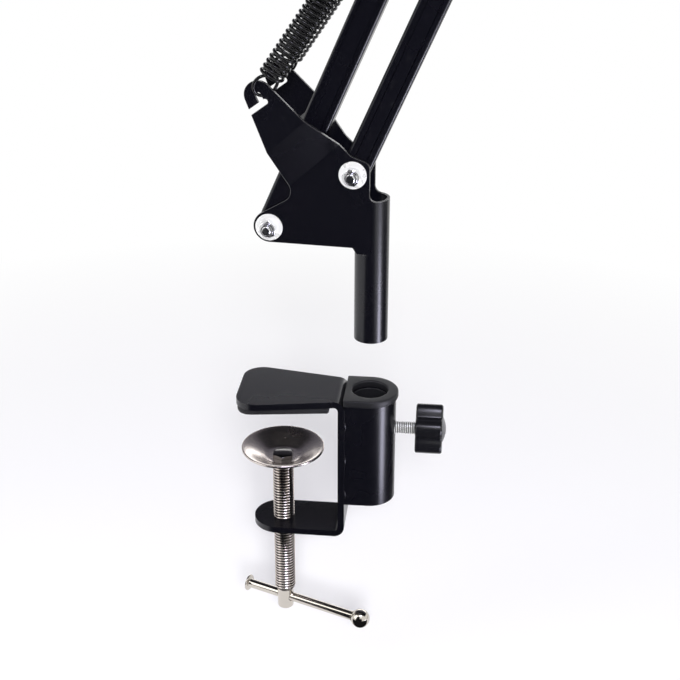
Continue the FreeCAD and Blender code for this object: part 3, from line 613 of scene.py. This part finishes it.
class BOOM_OT_springs(bpy.types.Operator):
    """Winds the two lower and two upper springs between their hooks and pins"""
    bl_idname = "boom.springs"
    bl_label = "Springs"

    def execute(self, context):
        s = sizes()
        low, over = joint_place("lower_fold_rear"), joint_place("upper_fold_over")
        lower_way = unit(joint_place("elbow_level") - joint_place("lower_fold"))
        upper_way = unit(joint_place("head_level") - joint_place("upper_fold"))
        upper_side = np.cross(ACROSS, upper_way)
        base_back, base_up, elbow_ahead, elbow_up = 0.9 * MM, 60.7 * MM, 40.0 * MM, 26.0 * MM
        base_hook = low - ALONG * base_back + UP * base_up
        elbow_hook = over + upper_way * elbow_ahead + upper_side * elbow_up
        lower_pin, upper_pin = low + lower_way * (192.0 * MM), over + upper_way * (150.0 * MM)
        rows = (("lower", base_hook, lower_pin, s.lower_turns, ("base", "lower_rear"), 0.30, 1.0),
                ("upper", elbow_hook, upper_pin, s.upper_turns, ("elbow", "upper_over"), 0.40, 0.9))
        sharpest = 60.0
        for label, hook, pin, turns, bodies, meet, full in rows:
            bends = [(*bodies, *ends) for ends in self.bends(hook, pin, meet, full)]
            for side, sign in (("near", -1.0), ("far", 1.0)):
                reach = ACROSS * (s.spring_reach * sign)
                hook_end, coil = spring_tube(hook + reach, pin + reach, turns)
                make_piece(f"{label}_spring_hook_{side}", hook_end, "wire_enamel", None, (), bends[0],
                           sharpest)
                make_piece(f"{label}_spring_coil_{side}", coil, "wire_enamel", None,
                           [f"{label}_spring_{side}"], bends[1], sharpest)
        return {"FINISHED"}

    def bends(self, hook, pin, meet, full):
        """Where the hook end and the coil start and end their turn from the first body to the second, so that both
        have made the share meet of it where the coil begins, and the coil stays nearly straight. A turn's share is
        3 x^2 - 2 x^3 of the way x, whose inverse is 1/2 - sin(asin(1 - 2 share) / 3)."""
        s = sizes()
        span = np.linalg.norm(pin - hook)
        begin, free = (s.coil_radius + s.coil_lead) / span, 2 * s.wire_radius / span
        way = 0.5 - math.sin(math.asin(1.0 - 2.0 * meet) / 3.0)
        hook_range = (free, free + (begin - free) / way)
        coil_range = ((begin - way * full) / (1.0 - way), full)
        return [[tuple(hook + (pin - hook) * share) for share in ends] for ends in (hook_range, coil_range)]


# Clamp pieces
def lathe(corners, radius, steps=48):
    """A closed turned shape from (radius, height) corners, rounded, bottom to top."""
    return closed_grid(turned_line(rounded_profile(corners, radius), steps))


def plug(radius, low, high, steps=48):
    """A plain round bar between two heights, its edges just broken."""
    return lathe([(0.0, low), (radius, low), (radius, high), (0.0, high)], 0.1 * MM, steps)


def hex_head(flats, low, high, chamfer, both):
    """A chamfered hexagon: the lesser of the hexagon's radius and a cone near its ends."""
    steps, waist, slope = 72, 0.93 * flats / 2, 1.7
    heights = np.concatenate([[low], np.linspace(low, low + chamfer, 6), np.linspace(high - chamfer, high, 8), [high]])
    cone = waist + (high - heights) * slope
    if both:
        cone = np.minimum(cone, waist + (heights - low) * slope)
    return closed_grid(turned(heights, np.minimum(hexagon_radii(steps, flats)[None], cone[:, None]), steps))


class BOOM_OT_clamp_screw(bpy.types.Operator):
    """Turns the clamp screw: its thread, neck, swaged tip and the drilled head"""
    bl_idname = "boom.clamp_screw"
    bl_label = "Clamp Screw"

    def execute(self, context):
        s = sizes()
        low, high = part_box("clamp_screw")
        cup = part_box("pressure_cup")[0].z
        head_top, shoulder = low.z + 11.0 * MM, cup - 0.1 * MM
        neck, tip_flats, radius = 3.4 * MM, 9.0 * MM, s.screw_head
        thread = threaded(s.screw_radius, 0.58 * s.screw_pitch, s.screw_pitch, head_top - 0.3 * MM, shoulder)
        shank = plug(neck, shoulder - 0.5 * MM, cup + 1.4 * MM)
        tip = hex_head(tip_flats, cup + 1.3 * MM, high.z, 0.5 * MM, False)
        make_piece("clamp_screw_thread", joined(thread, shank), "threaded_nickel", "screw",
                   ["clamp_screw"])
        make_piece("clamp_screw_tip", tip, "swaged_tip", "screw")
        head = lathe([(0.0, low.z), (radius - 0.4 * MM, low.z), (radius, low.z + 0.5 * MM),
                      (radius, head_top - 0.5 * MM), (radius + 0.3 * MM, head_top), (0.0, head_top)], 0.3 * MM, 64)
        self.drill(context, make_piece("clamp_screw_head", head, "nickel_plate", "screw"))
        return {"FINISHED"}

    def drill(self, context, piece):
        """Cuts the bar's hole across the head."""
        half, play, steps = 8.0 * MM, 0.15 * MM, 32
        hole = closed_grid(turned(np.array([-half, half]), np.full(2, sizes().bar_radius + play), steps))
        place = axes_matrix((0.0, 0.0, middle("t_bar")[2]), JOINTS["bar_slide"]["axis"], UP)
        cutter = mesh_object("cross_hole", carried(hole, [place]))
        assign(piece.modifiers.new("cross hole", "BOOLEAN"), object=cutter, solver="EXACT")
        context.view_layer.update()
        drilled = bpy.data.meshes.new_from_object(piece.evaluated_get(context.evaluated_depsgraph_get()))
        piece.modifiers.clear()
        piece.data = drilled
        smooth_shaded(drilled, 35.0)
        bpy.data.objects.remove(cutter)


class BOOM_OT_pressure_cup(bpy.types.Operator):
    """Spins the pressure cup: a flat floor, a flaring wall, a flatter brim and a rolled rim"""
    bl_idname = "boom.pressure_cup"
    bl_label = "Pressure Cup"

    def execute(self, context):
        low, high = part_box("pressure_cup")
        sheet = sizes().cup_sheet
        rim, floor, hole = high.x, 8.0 * MM, 3.45 * MM
        brim, brim_fall = 15.8 * MM, 1.1 * MM
        inner = rounded_profile([(hole, low.z + sheet), (floor, low.z + sheet), (brim, high.z - brim_fall),
                                 (rim - sheet * 0.5, high.z)], 1.4 * MM, 9)
        outer = inner[::-1] - np.array([-0.25, 1.0]) * sheet
        outer[-1] = (hole, low.z)
        outer[:, 0] = np.minimum(outer[:, 0], rim)
        a = np.linspace(0.0, math.pi, 9)[1:-1, None]
        centre = (inner[-1] + outer[0]) / 2
        arm = inner[-1] - centre
        lip = centre + np.cos(a) * arm + np.sin(a) * np.array([arm[1], -arm[0]])
        lip[:, 0] = np.minimum(lip[:, 0], rim)
        line = np.concatenate([inner, lip, outer])[::-1]
        make_piece("pressure_cup_dish", ring_grid(turned_line(line, 96)), "turned_nickel", "cup",
                   ["pressure_cup"])
        return {"FINISHED"}


class BOOM_OT_sliding_bar(bpy.types.Operator):
    """Turns the sliding bar with a flat button at one end and a necked ball at the other"""
    bl_idname = "boom.sliding_bar"
    bl_label = "Sliding Bar"

    def execute(self, context):
        s = sizes()
        way = unit(np.array(JOINTS["bar_slide"]["axis"]))
        centre = middle("t_bar_ball")
        centre[0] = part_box("t_bar_ball")[1].x - s.ball_radius
        edge, thick, bar = s.button_radius, 0.8 * MM, s.bar_radius
        button = rounded_profile([(0.0, -thick), (edge * 0.55, -thick), (edge, -thick * 0.35), (edge, thick * 0.4),
                                  (edge * 0.8, thick), (bar, thick), (bar, thick + 2.0 * MM)], 0.5 * MM)
        collar, groove, flat_end = 2.95 * MM, bar - 0.18 * MM, 0.24
        a = np.linspace(math.asin(collar / s.ball_radius), math.pi - flat_end, 26)
        ball = np.stack([s.ball_radius * np.sin(a), s.bar_span - s.ball_radius * np.cos(a)], axis=1)
        face = ball[0, 1] - 0.35 * MM
        neck = np.array([[bar, face - 0.55 * MM], [groove, face - 0.45 * MM], [groove, face - 0.05 * MM],
                         [collar - 0.25 * MM, face], [collar, face + 0.15 * MM]])
        shape = closed_grid(turned_line(np.concatenate([button, neck, ball]), 40))
        place = axes_matrix(centre - way * s.bar_span, way, UP)
        make_piece("sliding_bar", carried(shape, [place]), "nickel_plate", "bar",
                   ["t_bar", "t_bar_ball"])
        return {"FINISHED"}


class BOOM_OT_thumbscrew(bpy.types.Operator):
    """Makes the thumbscrew: threaded stud, lobed knob and domed cap"""
    bl_idname = "boom.thumbscrew"
    bl_label = "Thumbscrew"

    def execute(self, context):
        s = sizes()
        low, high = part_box("thumbscrew_stud")
        back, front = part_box("thumbscrew_knob")
        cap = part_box("thumbscrew_cap")[1]
        place = [axes_matrix((0.0, 0.0, middle("thumbscrew_stud")[2]), (1.0, 0.0, 0.0), UP)]
        thread = threaded(s.stud_radius, 0.55 * s.stud_pitch, s.stud_pitch, low.x, high.x)
        make_piece("thumbscrew_thread", carried(thread, place), "threaded_zinc", "thumbscrew",
                   ["thumbscrew_stud"])
        steps, lobes, edge = 240, 6, 1.0 * MM
        wave = (0.5 + 0.5 * np.cos(lobes * round_angles(steps))) ** 0.75
        outline = (front.z - back.z) / 2 - s.knob_scallop * (1.0 - wave)
        t = np.linspace(0.0, math.pi / 2, 7)
        fall, rise = edge * (1 - np.sin(t)), edge * (1 - np.cos(t))
        seat = cap.y + 0.25 * MM
        heights = np.concatenate([[back.x], back.x + rise, front.x - fall, [front.x, front.x - 0.5 * MM]])
        hub, rim, recess = (np.full((1, steps), r) for r in (4.2 * MM, seat, seat - 0.1 * MM))
        radii = np.concatenate([hub, outline[None] - np.concatenate([fall, rise])[:, None], rim, recess])
        make_piece("thumbscrew_lobes", carried(closed_grid(turned(heights, radii, steps)), place), "gloss_plastic",
                   "thumbscrew", ["thumbscrew_knob"])
        a = 1 - np.linspace(0.0, 1.0, 12)[:-1]
        dome = np.stack([cap.y * a, cap.x - (cap.x - front.x) * a ** 2], axis=1)
        line = np.concatenate([[[cap.y, front.x - 0.6 * MM]], dome])
        make_piece("thumbscrew_dome", carried(closed_grid(turned_line(line, 64)), place), "cap_plastic", "thumbscrew",
                   ["thumbscrew_cap"])
        return {"FINISHED"}


class BOOM_OT_jaw_pad(bpy.types.Operator):
    """Moulds the rubber pad under the upper jaw: its outline, drawn in along round edges and a slim groove on top"""
    bl_idname = "boom.jaw_pad"
    bl_label = "Jaw Pad"

    def execute(self, context):
        low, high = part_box("jaw_pad")
        tip, root, soft = high.y, 12.54 * MM, sizes().pad_round
        root_round, tip_round, groove, core = 0.8 * MM, 8.2 * MM, 0.45 * MM, 5.0 * MM
        outline = round_corners([(high.x, -root), (high.x, root), (low.x, tip), (low.x, -tip)],
                                [root_round, root_round, tip_round, tip_round], 14)
        ahead = np.roll(outline, -1, axis=0) - np.roll(outline, 1, axis=0)
        inward = unit(np.stack([-ahead[:, 1], ahead[:, 0]], axis=1))
        t = np.linspace(0.0, math.pi / 2, 7)
        steps_in = groove * np.array([0.0, 0.35, 1.0, 1.6])
        inset = np.concatenate([[core], soft * (1 - np.sin(t)), steps_in, [core]])
        top = high.z - np.array([1.2, 0.9, 0.35, 0.0, 0.0]) * MM
        heights = np.concatenate([[low.z], low.z + soft * (1 - np.cos(t)), top])
        plan = outline[None] + inward[None] * inset[:, None, None]
        levels = np.broadcast_to(heights[:, None, None], (*plan.shape[:2], 1))
        shape = closed_grid(np.concatenate([plan, levels], axis=2))
        make_piece("jaw_pad_rubber", shape, "pad_rubber", "clamp", ["jaw_pad"], sharpest=50.0)
        return {"FINISHED"}


# Pivots
def nut_shape(s):
    """A self-locking nut on local +Z from its seat: washer face, chamfered hexagon and rounded collar."""
    hexagon = hex_head(s.nut_flats, 0.0, 3.2 * MM, 0.45 * MM, True)
    collar = np.array([(2.0, 3.0), (3.15, 3.0), (2.9, 4.0), (2.75, 4.8), (2.25, 4.8), (2.05, 4.35), (2.0, 3.2)]) * MM
    return joined(hexagon, ring_grid(turned_line(rounded_profile(collar, 0.5 * MM), 40)))


def washer_shape(s):
    """A flat washer with softened edges on local +Z."""
    thick, bore, edge = 0.8 * MM, 2.1 * MM, s.washer_radius
    line = rounded_profile([(bore, thick / 2), (bore, 0.0), (edge, 0.0), (edge, thick), (bore, thick),
                            (bore, thick / 2)], 0.22 * MM)
    return ring_grid(turned_line(line[:-1], 56))


def bolt_shape(s, grip):
    """A hexagon bolt on local +Z: head behind its seat at zero, plain shank and a threaded end."""
    depth, pitch, run, steps = 0.38 * MM, 0.7 * MM, 3.0 * MM, 32
    thread = threaded(s.bolt_radius, depth, pitch, grip - run, grip, steps)
    shank = plug(s.bolt_radius - 0.05 * MM, -0.2 * MM, grip - 2.8 * MM, steps)
    points, faces = hex_head(s.nut_flats, 0.0, 2.8 * MM, 0.45 * MM, False)
    return joined(thread, shank, (points * np.array([1.0, -1.0, -1.0]), faces))


class BOOM_OT_pivots(bpy.types.Operator):
    """Fits a bolt, two washers and a self-locking nut at every pivot of the three brackets"""
    bl_idname = "boom.pivots"
    bl_label = "Pivot Fasteners"

    def execute(self, context):
        s = sizes()
        low, rear = joint_place("lower_fold"), joint_place("lower_fold_rear")
        front, under, head = joint_place("elbow_level"), joint_place("upper_fold"), joint_place("head_level")
        pair, upper_pair = low - rear, joint_place("upper_fold_over") - under
        rows = (("base", [low, rear]), ("elbow", [front, front - pair, under, under + upper_pair]),
                ("head", [head, head + upper_pair, joint_place("mic_tilt")]))
        cheek, washer, past_nut = 7.5 * MM, 0.8 * MM, 5.65 * MM
        seat = ACROSS * (cheek + washer)
        turns = (0.35, 0.9, 0.1, 0.6)
        for label, places in rows:
            sides = [ALONG * math.cos(turn) + UP * math.sin(turn) for turn in turns[:len(places)]]
            near = [axes_matrix(p - seat, -ACROSS, side) for p, side in zip(places, sides)]
            far = [axes_matrix(p + seat, -ACROSS, side) for p, side in zip(places, sides[::-1])]
            flats = [axes_matrix(p + ACROSS * (cheek * k), ACROSS * k, UP) for p in places for k in (-1.0, 1.0)]
            pieces = (("nuts", nut_shape(s), near, "zinc_plate"), ("washers", washer_shape(s), flats, "satin_zinc"),
                      ("bolts", bolt_shape(s, 2 * (cheek + washer) + past_nut), far, "zinc_plate"))
            for kind, shape, frames, finish in pieces:
                make_piece(f"{label}_pivot_{kind}", carried(shape, frames), finish, label,
                           [f"{label}_{kind}"])
        return {"FINISHED"}


# Coated sheet, tubes, mouldings
class BOOM_OT_coated_parts(bpy.types.Operator):
    """Softens the edges of the coated sheet and tubes and gives them and the mouldings their finish"""
    bl_idname = "boom.coated_parts"
    bl_label = "Coated Parts"

    def execute(self, context):
        rounds = {"socket_cap": 0.8 * MM, "clamp_frame": 0.45 * MM, "mic_swivel": 0.5 * MM, "base_bracket": 0.6 * MM}
        for name, node in frame["nodes"].items():
            node.data.materials.clear()
            node.data.materials.append(bpy.data.materials[self.finish(name)])
            if node.hide_render:
                continue
            node.data.polygons.foreach_set("use_smooth", np.ones(len(node.data.polygons), bool))
            assign(node.modifiers.new("weld", "WELD"), merge_threshold=0.002 * MM)
            assign(node.modifiers.new("soft edges", "BEVEL"), width=rounds.get(name, sizes().edge_round), segments=3,
                   limit_method="ANGLE", angle_limit=math.radians(35.0), use_clamp_overlap=True)
            assign(node.modifiers.new("even shading", "WEIGHTED_NORMAL"), mode="FACE_AREA", keep_sharp=False)
        return {"FINISHED"}

    def finish(self, name):
        """The finish of a solid, by its name."""
        # The plates get the coat with the painted edge highlight
        if name.startswith(("base_bracket", "elbow_plate", "head_plate")):
            return "plate_coat"
        if name.startswith(("clamp_frame", "socket_body", "lower_tube", "upper_tube")):
            return "powder_coat"
        if name in ("socket_cap", "socket_liner", "mic_swivel") or name.endswith("spacers"):
            return "matte_plastic"
        return "zinc_plate"


class BOOM_OT_welds(bpy.types.Operator):
    """Lays the short weld beads between the socket and the clamp's web"""
    bl_idname = "boom.welds"
    bl_label = "Weld Beads"

    def execute(self, context):
        low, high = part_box("socket_body")
        half, tall, ripples, sink = 2.2 * MM, 0.6 * MM, 9, 0.1 * MM
        a = np.linspace(0.0, math.pi, 14)[1:-1]
        bead = closed_grid(turned(-half * np.cos(a), tall * np.sin(a) * (1.0 + 0.10 * np.cos(ripples * a)), 20))
        levels = [low.z + (high.z - low.z) * share for share in (0.10, 0.45, 0.80)]
        frames = [axes_matrix((low.x + 0.15 * MM, y, z), UP, ALONG)
                  for z in levels for y in (low.y + sink, high.y - sink)]
        make_piece("socket_weld_beads", carried(bead, frames), "powder_coat", "clamp")
        return {"FINISHED"}


class BOOM_OT_microphone_stud(bpy.types.Operator):
    """Cuts the microphone stud's thread and its knurled flange"""
    bl_idname = "boom.microphone_stud"
    bl_label = "Microphone Stud"

    def execute(self, context):
        s = sizes()
        flange, thick, pitch = s.flange_radius, s.flange_thick, s.mount_pitch
        steps, knurls, reach = 96, 48, 16.0 * MM
        line = rounded_profile([(5.5 * MM, 0.0), (flange, 0.0), (flange, thick), (6.0 * MM, thick)], 0.5 * MM)
        cut = 0.012 * (1 + np.cos(knurls * round_angles(steps))) * (line[:, :1] > flange - 0.3 * MM)
        disc = closed_grid(turned(line[:, 1], line[:, :1] * (1.0 - cut), steps))
        thread = threaded(s.mount_radius, 0.55 * pitch, pitch, thick - 0.2 * MM, thick + s.mount_length, 64)
        place = axes_matrix(joint_place("mic_tilt") - ALONG * reach, -ALONG, UP)
        make_piece("microphone_stud_thread", carried(joined(disc, thread), [place]), "threaded_stud", "mic_mount",
                   ["mic_stud"])
        return {"FINISHED"}


# Studio
def oblong(x0, y0, x1, y1):
    """A rectangle's corners, from two opposite ones."""
    return (x0, y0), (x1, y0), (x1, y1), (x0, y1)


def level(z, *plan):
    """Corners that lie at one height."""
    return [(x, y, z) for x, y in plan]


def upright(y, *face):
    """Corners that stand across the view."""
    return [(x, y, z) for x, z in face]


def area_light(name, place, target, size, power, mirrored):
    """A soft rectangular light that faces a point, and that reflections may or may not meet."""
    lamp = assign(bpy.data.lights.new(name, "AREA"), shape="RECTANGLE", size=size[0], size_y=size[1], energy=power)
    facing = (Vector(target) - Vector(place)).to_track_quat("-Z", "Y")
    linked(name, lamp, location=place, rotation_mode="QUATERNION", rotation_quaternion=facing, visible_camera=False,
           visible_glossy=mirrored)


class BOOM_OT_studio(bpy.types.Operator):
    """Sets the pale floor, the soft lights, the surroundings and the camera"""
    bl_idname = "boom.studio"
    bl_label = "Studio"

    def execute(self, context):
        low, half = cad_box[0].z, 6.0
        # The screw's bar comes down to the floor at the end of its travel
        ground = low + JOINTS["clamp_travel"]["range_m"][0] - 1.0 * MM
        self.card("studio_floor", level(ground, *oblong(-half, -half, half, half)), self.paper())
        self.surround(context.scene)
        area_light("top_softbox", (-0.1, 0.25, 1.6), (0.03, 0.0, 0.0), (1.6, 1.2), 3.5, False)
        area_light("front_key", (0.24, -1.4, 0.76), (0.03, 0.0, 0.05), (0.30, 0.30), 29.0, False)
        area_light("back_strip", (0.25, 1.7, 0.42), (0.02, 0.0, 0.08), (1.8, 0.35), 5.0, True)
        area_light("left_softbox", (-1.1, -0.5, 0.7), (0.0, 0.0, 0.05), (0.8, 1.0), 3.6, True)
        lying, glowing = low + 1.0 * MM, low + 3.0 * MM
        near, mid, far = (((0.154, -0.043), (0.136, -0.074)), ((0.323, -0.108), (0.280, -0.185)),
                          ((0.436, -0.152), (0.376, -0.259)))
        flags = (
            ("front_flag", 0.0, level(lying, (-0.025, -0.018), (0.06, -0.018), (0.17, -0.05), (0.3, -0.8),
                                      (-0.6, -0.8))),
            ("right_flag", 0.0, level(lying, (0.12, -0.03), (0.7, -0.1), (0.7, 0.4), (0.12, 0.1))),
            ("camera_flag", 0.0, upright(-0.8, (-0.9, lying), (0.4, lying), (0.4, 0.3), (0.0, 0.3), (0.0, 0.9),
                                         (-0.9, 0.9))),
            ("ceiling_flag", 0.0, level(1.2, *oblong(-2.2, -0.35, 2.2, 1.0))),
            ("back_card", 0.17, level(1.2, *oblong(-3.0, 1.0, 3.0, 4.2))),
            ("front_card", 13.0, [(0.0, -0.95, 1.15), (0.5, -0.95, 1.15), (0.5, -0.65, 1.5), (0.0, -0.65, 1.5)]),
            ("mouth_flag", 0.0, upright(0.045, *oblong(-0.035, -0.054, 0.028, -0.027))),
            ("near_glow", 13.0, level(glowing, *near, *mid[::-1])),
            ("far_glow", 25.0, level(glowing, *mid, *far[::-1])))
        for flag in flags:
            self.flag(*flag)
        self.camera(context.scene)
        context.scene.view_settings.view_transform = "Standard"
        return {"FINISHED"}

    def card(self, name, corners, material):
        """A flat sheet of the studio."""
        card = mesh_object(name, (np.array(corners), [np.arange(len(corners))[None]]))
        card.data.materials.append(material)
        return card

    def flag(self, name, glow, corners):
        """A black or lit card of the studio, met by reflections alone."""
        material, nodes = new_material(name)
        shader = nodes.add("ShaderNodeBsdfPrincipled", {
            "Base Color": opaque(colours().card), "Roughness": 0.9, "Specular IOR Level": 0.0,
            "Emission Color": opaque(colours().glow), "Emission Strength": glow})
        nodes.add("ShaderNodeOutputMaterial", {"Surface": shader.outputs[0]})
        assign(self.card(name, corners, material), visible_camera=False, visible_diffuse=False, visible_shadow=False,
               visible_transmission=False)

    def seen(self, nodes):
        """One for what the camera sees, straight, in a mirror or through glass, and zero for light on its way."""
        path = nodes.add("ShaderNodeLightPath").outputs
        mirrored = nodes.math("MAXIMUM", path["Is Camera Ray"], path["Is Glossy Ray"])
        return nodes.math("MAXIMUM", mirrored, path["Is Transmission Ray"])

    def paper(self):
        """White paper that takes shadows near the arm and, to the eye and in mirrors, fades to plain white far off."""
        material, nodes = new_material("floor_paper")
        away = nodes.vector("LENGTH", nodes.place())["Value"]
        share = nodes.math("MULTIPLY", nodes.ramp(away, 0.22, 0.6, 0.0, 1.0), self.seen(nodes))
        shader = nodes.add("ShaderNodeBsdfPrincipled", {"Base Color": opaque(colours().floor), "Roughness": 0.9,
                                                        "Specular IOR Level": 0.1})
        white = nodes.add("ShaderNodeEmission", {"Color": WHITE, "Strength": 1.0})
        both = nodes.add("ShaderNodeMixShader", {0: share, 1: shader.outputs[0], 2: white.outputs[0]})
        nodes.add("ShaderNodeOutputMaterial", {"Surface": both.outputs[0]})
        return material

    def surround(self, scene):
        """A studio all round: bright above and behind the object, dim on the camera's side, white to the camera."""
        world = scene.world or bpy.data.worlds.new("studio")
        scene.world = world
        world.use_nodes = True
        nodes = Nodes(world.node_tree)
        way = nodes.add("ShaderNodeTexCoord").outputs["Generated"]
        split = nodes.add("ShaderNodeSeparateXYZ", {"Vector": way}).outputs
        behind = nodes.ramp(split["Y"], -0.55, 0.25, 0.10, 0.95)
        above = nodes.ramp(split["Z"], 0.35, 0.85, 0.0, 1.0)
        strength = nodes.math("MULTIPLY", nodes.math("MAXIMUM", behind, above), 0.50)
        soft = nodes.add("ShaderNodeBackground", {"Color": opaque(colours().sky), "Strength": strength})
        white = nodes.add("ShaderNodeBackground", {"Color": WHITE, "Strength": 1.0})
        both = nodes.add("ShaderNodeMixShader", {0: self.seen(nodes), 1: soft.outputs[0], 2: white.outputs[0]})
        nodes.add("ShaderNodeOutputWorld", {"Surface": both.outputs[0]})

    def camera(self, scene):
        """The photograph's view: direction, distance, a slight roll and the lens for a square frame."""
        turn, lift, roll = (math.radians(a) for a in (5.87, 25.6, 0.13))
        target, distance = np.array([26.71, 0.0, 31.56]) * MM, 616.24 * MM
        back = np.array([math.sin(turn) * math.cos(lift), -math.cos(turn) * math.cos(lift), math.sin(lift)])
        right = np.array([math.cos(turn), math.sin(turn), 0.0])
        up = np.cross(back, right)
        right, up = math.cos(roll) * right + math.sin(roll) * up, math.cos(roll) * up - math.sin(roll) * right
        lens = assign(bpy.data.cameras.new("photo_camera"), sensor_width=36.0, lens=72.75, clip_start=0.01,
                      clip_end=50.0)
        rows = np.eye(4)
        rows[:3] = np.stack([right, up, back, target + back * distance], axis=1)
        scene.camera = linked("photo_camera", lens, matrix_world=Matrix(rows.tolist()))


class BOOM_PT_panel(bpy.types.Panel):
    """Lists the arm's sizes, colours and steps in the sidebar"""
    bl_idname = "BOOM_PT_panel"
    bl_label = "Boom Arm"
    bl_space_type = "VIEW_3D"
    bl_region_type = "UI"
    bl_category = "Boom Arm"

    def draw(self, context):
        for group in (context.scene.boom_sizes, context.scene.boom_colours):
            box = self.layout.box()
            for name in group.__annotations__:
                box.prop(group, name)
        for step in STEPS:
            self.layout.operator(step.bl_idname)


STEPS = (BOOM_OT_springs, BOOM_OT_clamp_screw, BOOM_OT_pressure_cup, BOOM_OT_sliding_bar, BOOM_OT_thumbscrew,
         BOOM_OT_jaw_pad, BOOM_OT_pivots, BOOM_OT_microphone_stud, BOOM_OT_welds, BOOM_OT_coated_parts, BOOM_OT_studio)
CLASSES = (BOOM_sizes, BOOM_colours, *STEPS, BOOM_PT_panel)


def register():
    """Makes the classes and the scene's settings known to Blender."""
    for item in CLASSES:
        bpy.utils.register_class(item)
    bpy.types.Scene.boom_sizes = PointerProperty(type=BOOM_sizes)
    bpy.types.Scene.boom_colours = PointerProperty(type=BOOM_colours)


def unregister():
    """Takes the settings and the classes away again."""
    del bpy.types.Scene.boom_colours
    del bpy.types.Scene.boom_sizes
    for item in reversed(CLASSES):
        bpy.utils.unregister_class(item)


def main():
    """Dresses the arm and sets the studio."""
    register()
    make_materials()
    for step in STEPS:
        family, name = step.bl_idname.split(".")
        getattr(getattr(bpy.ops, family), name)()
    bpy.context.view_layer.update()


if __name__ == "__main__":
    main()
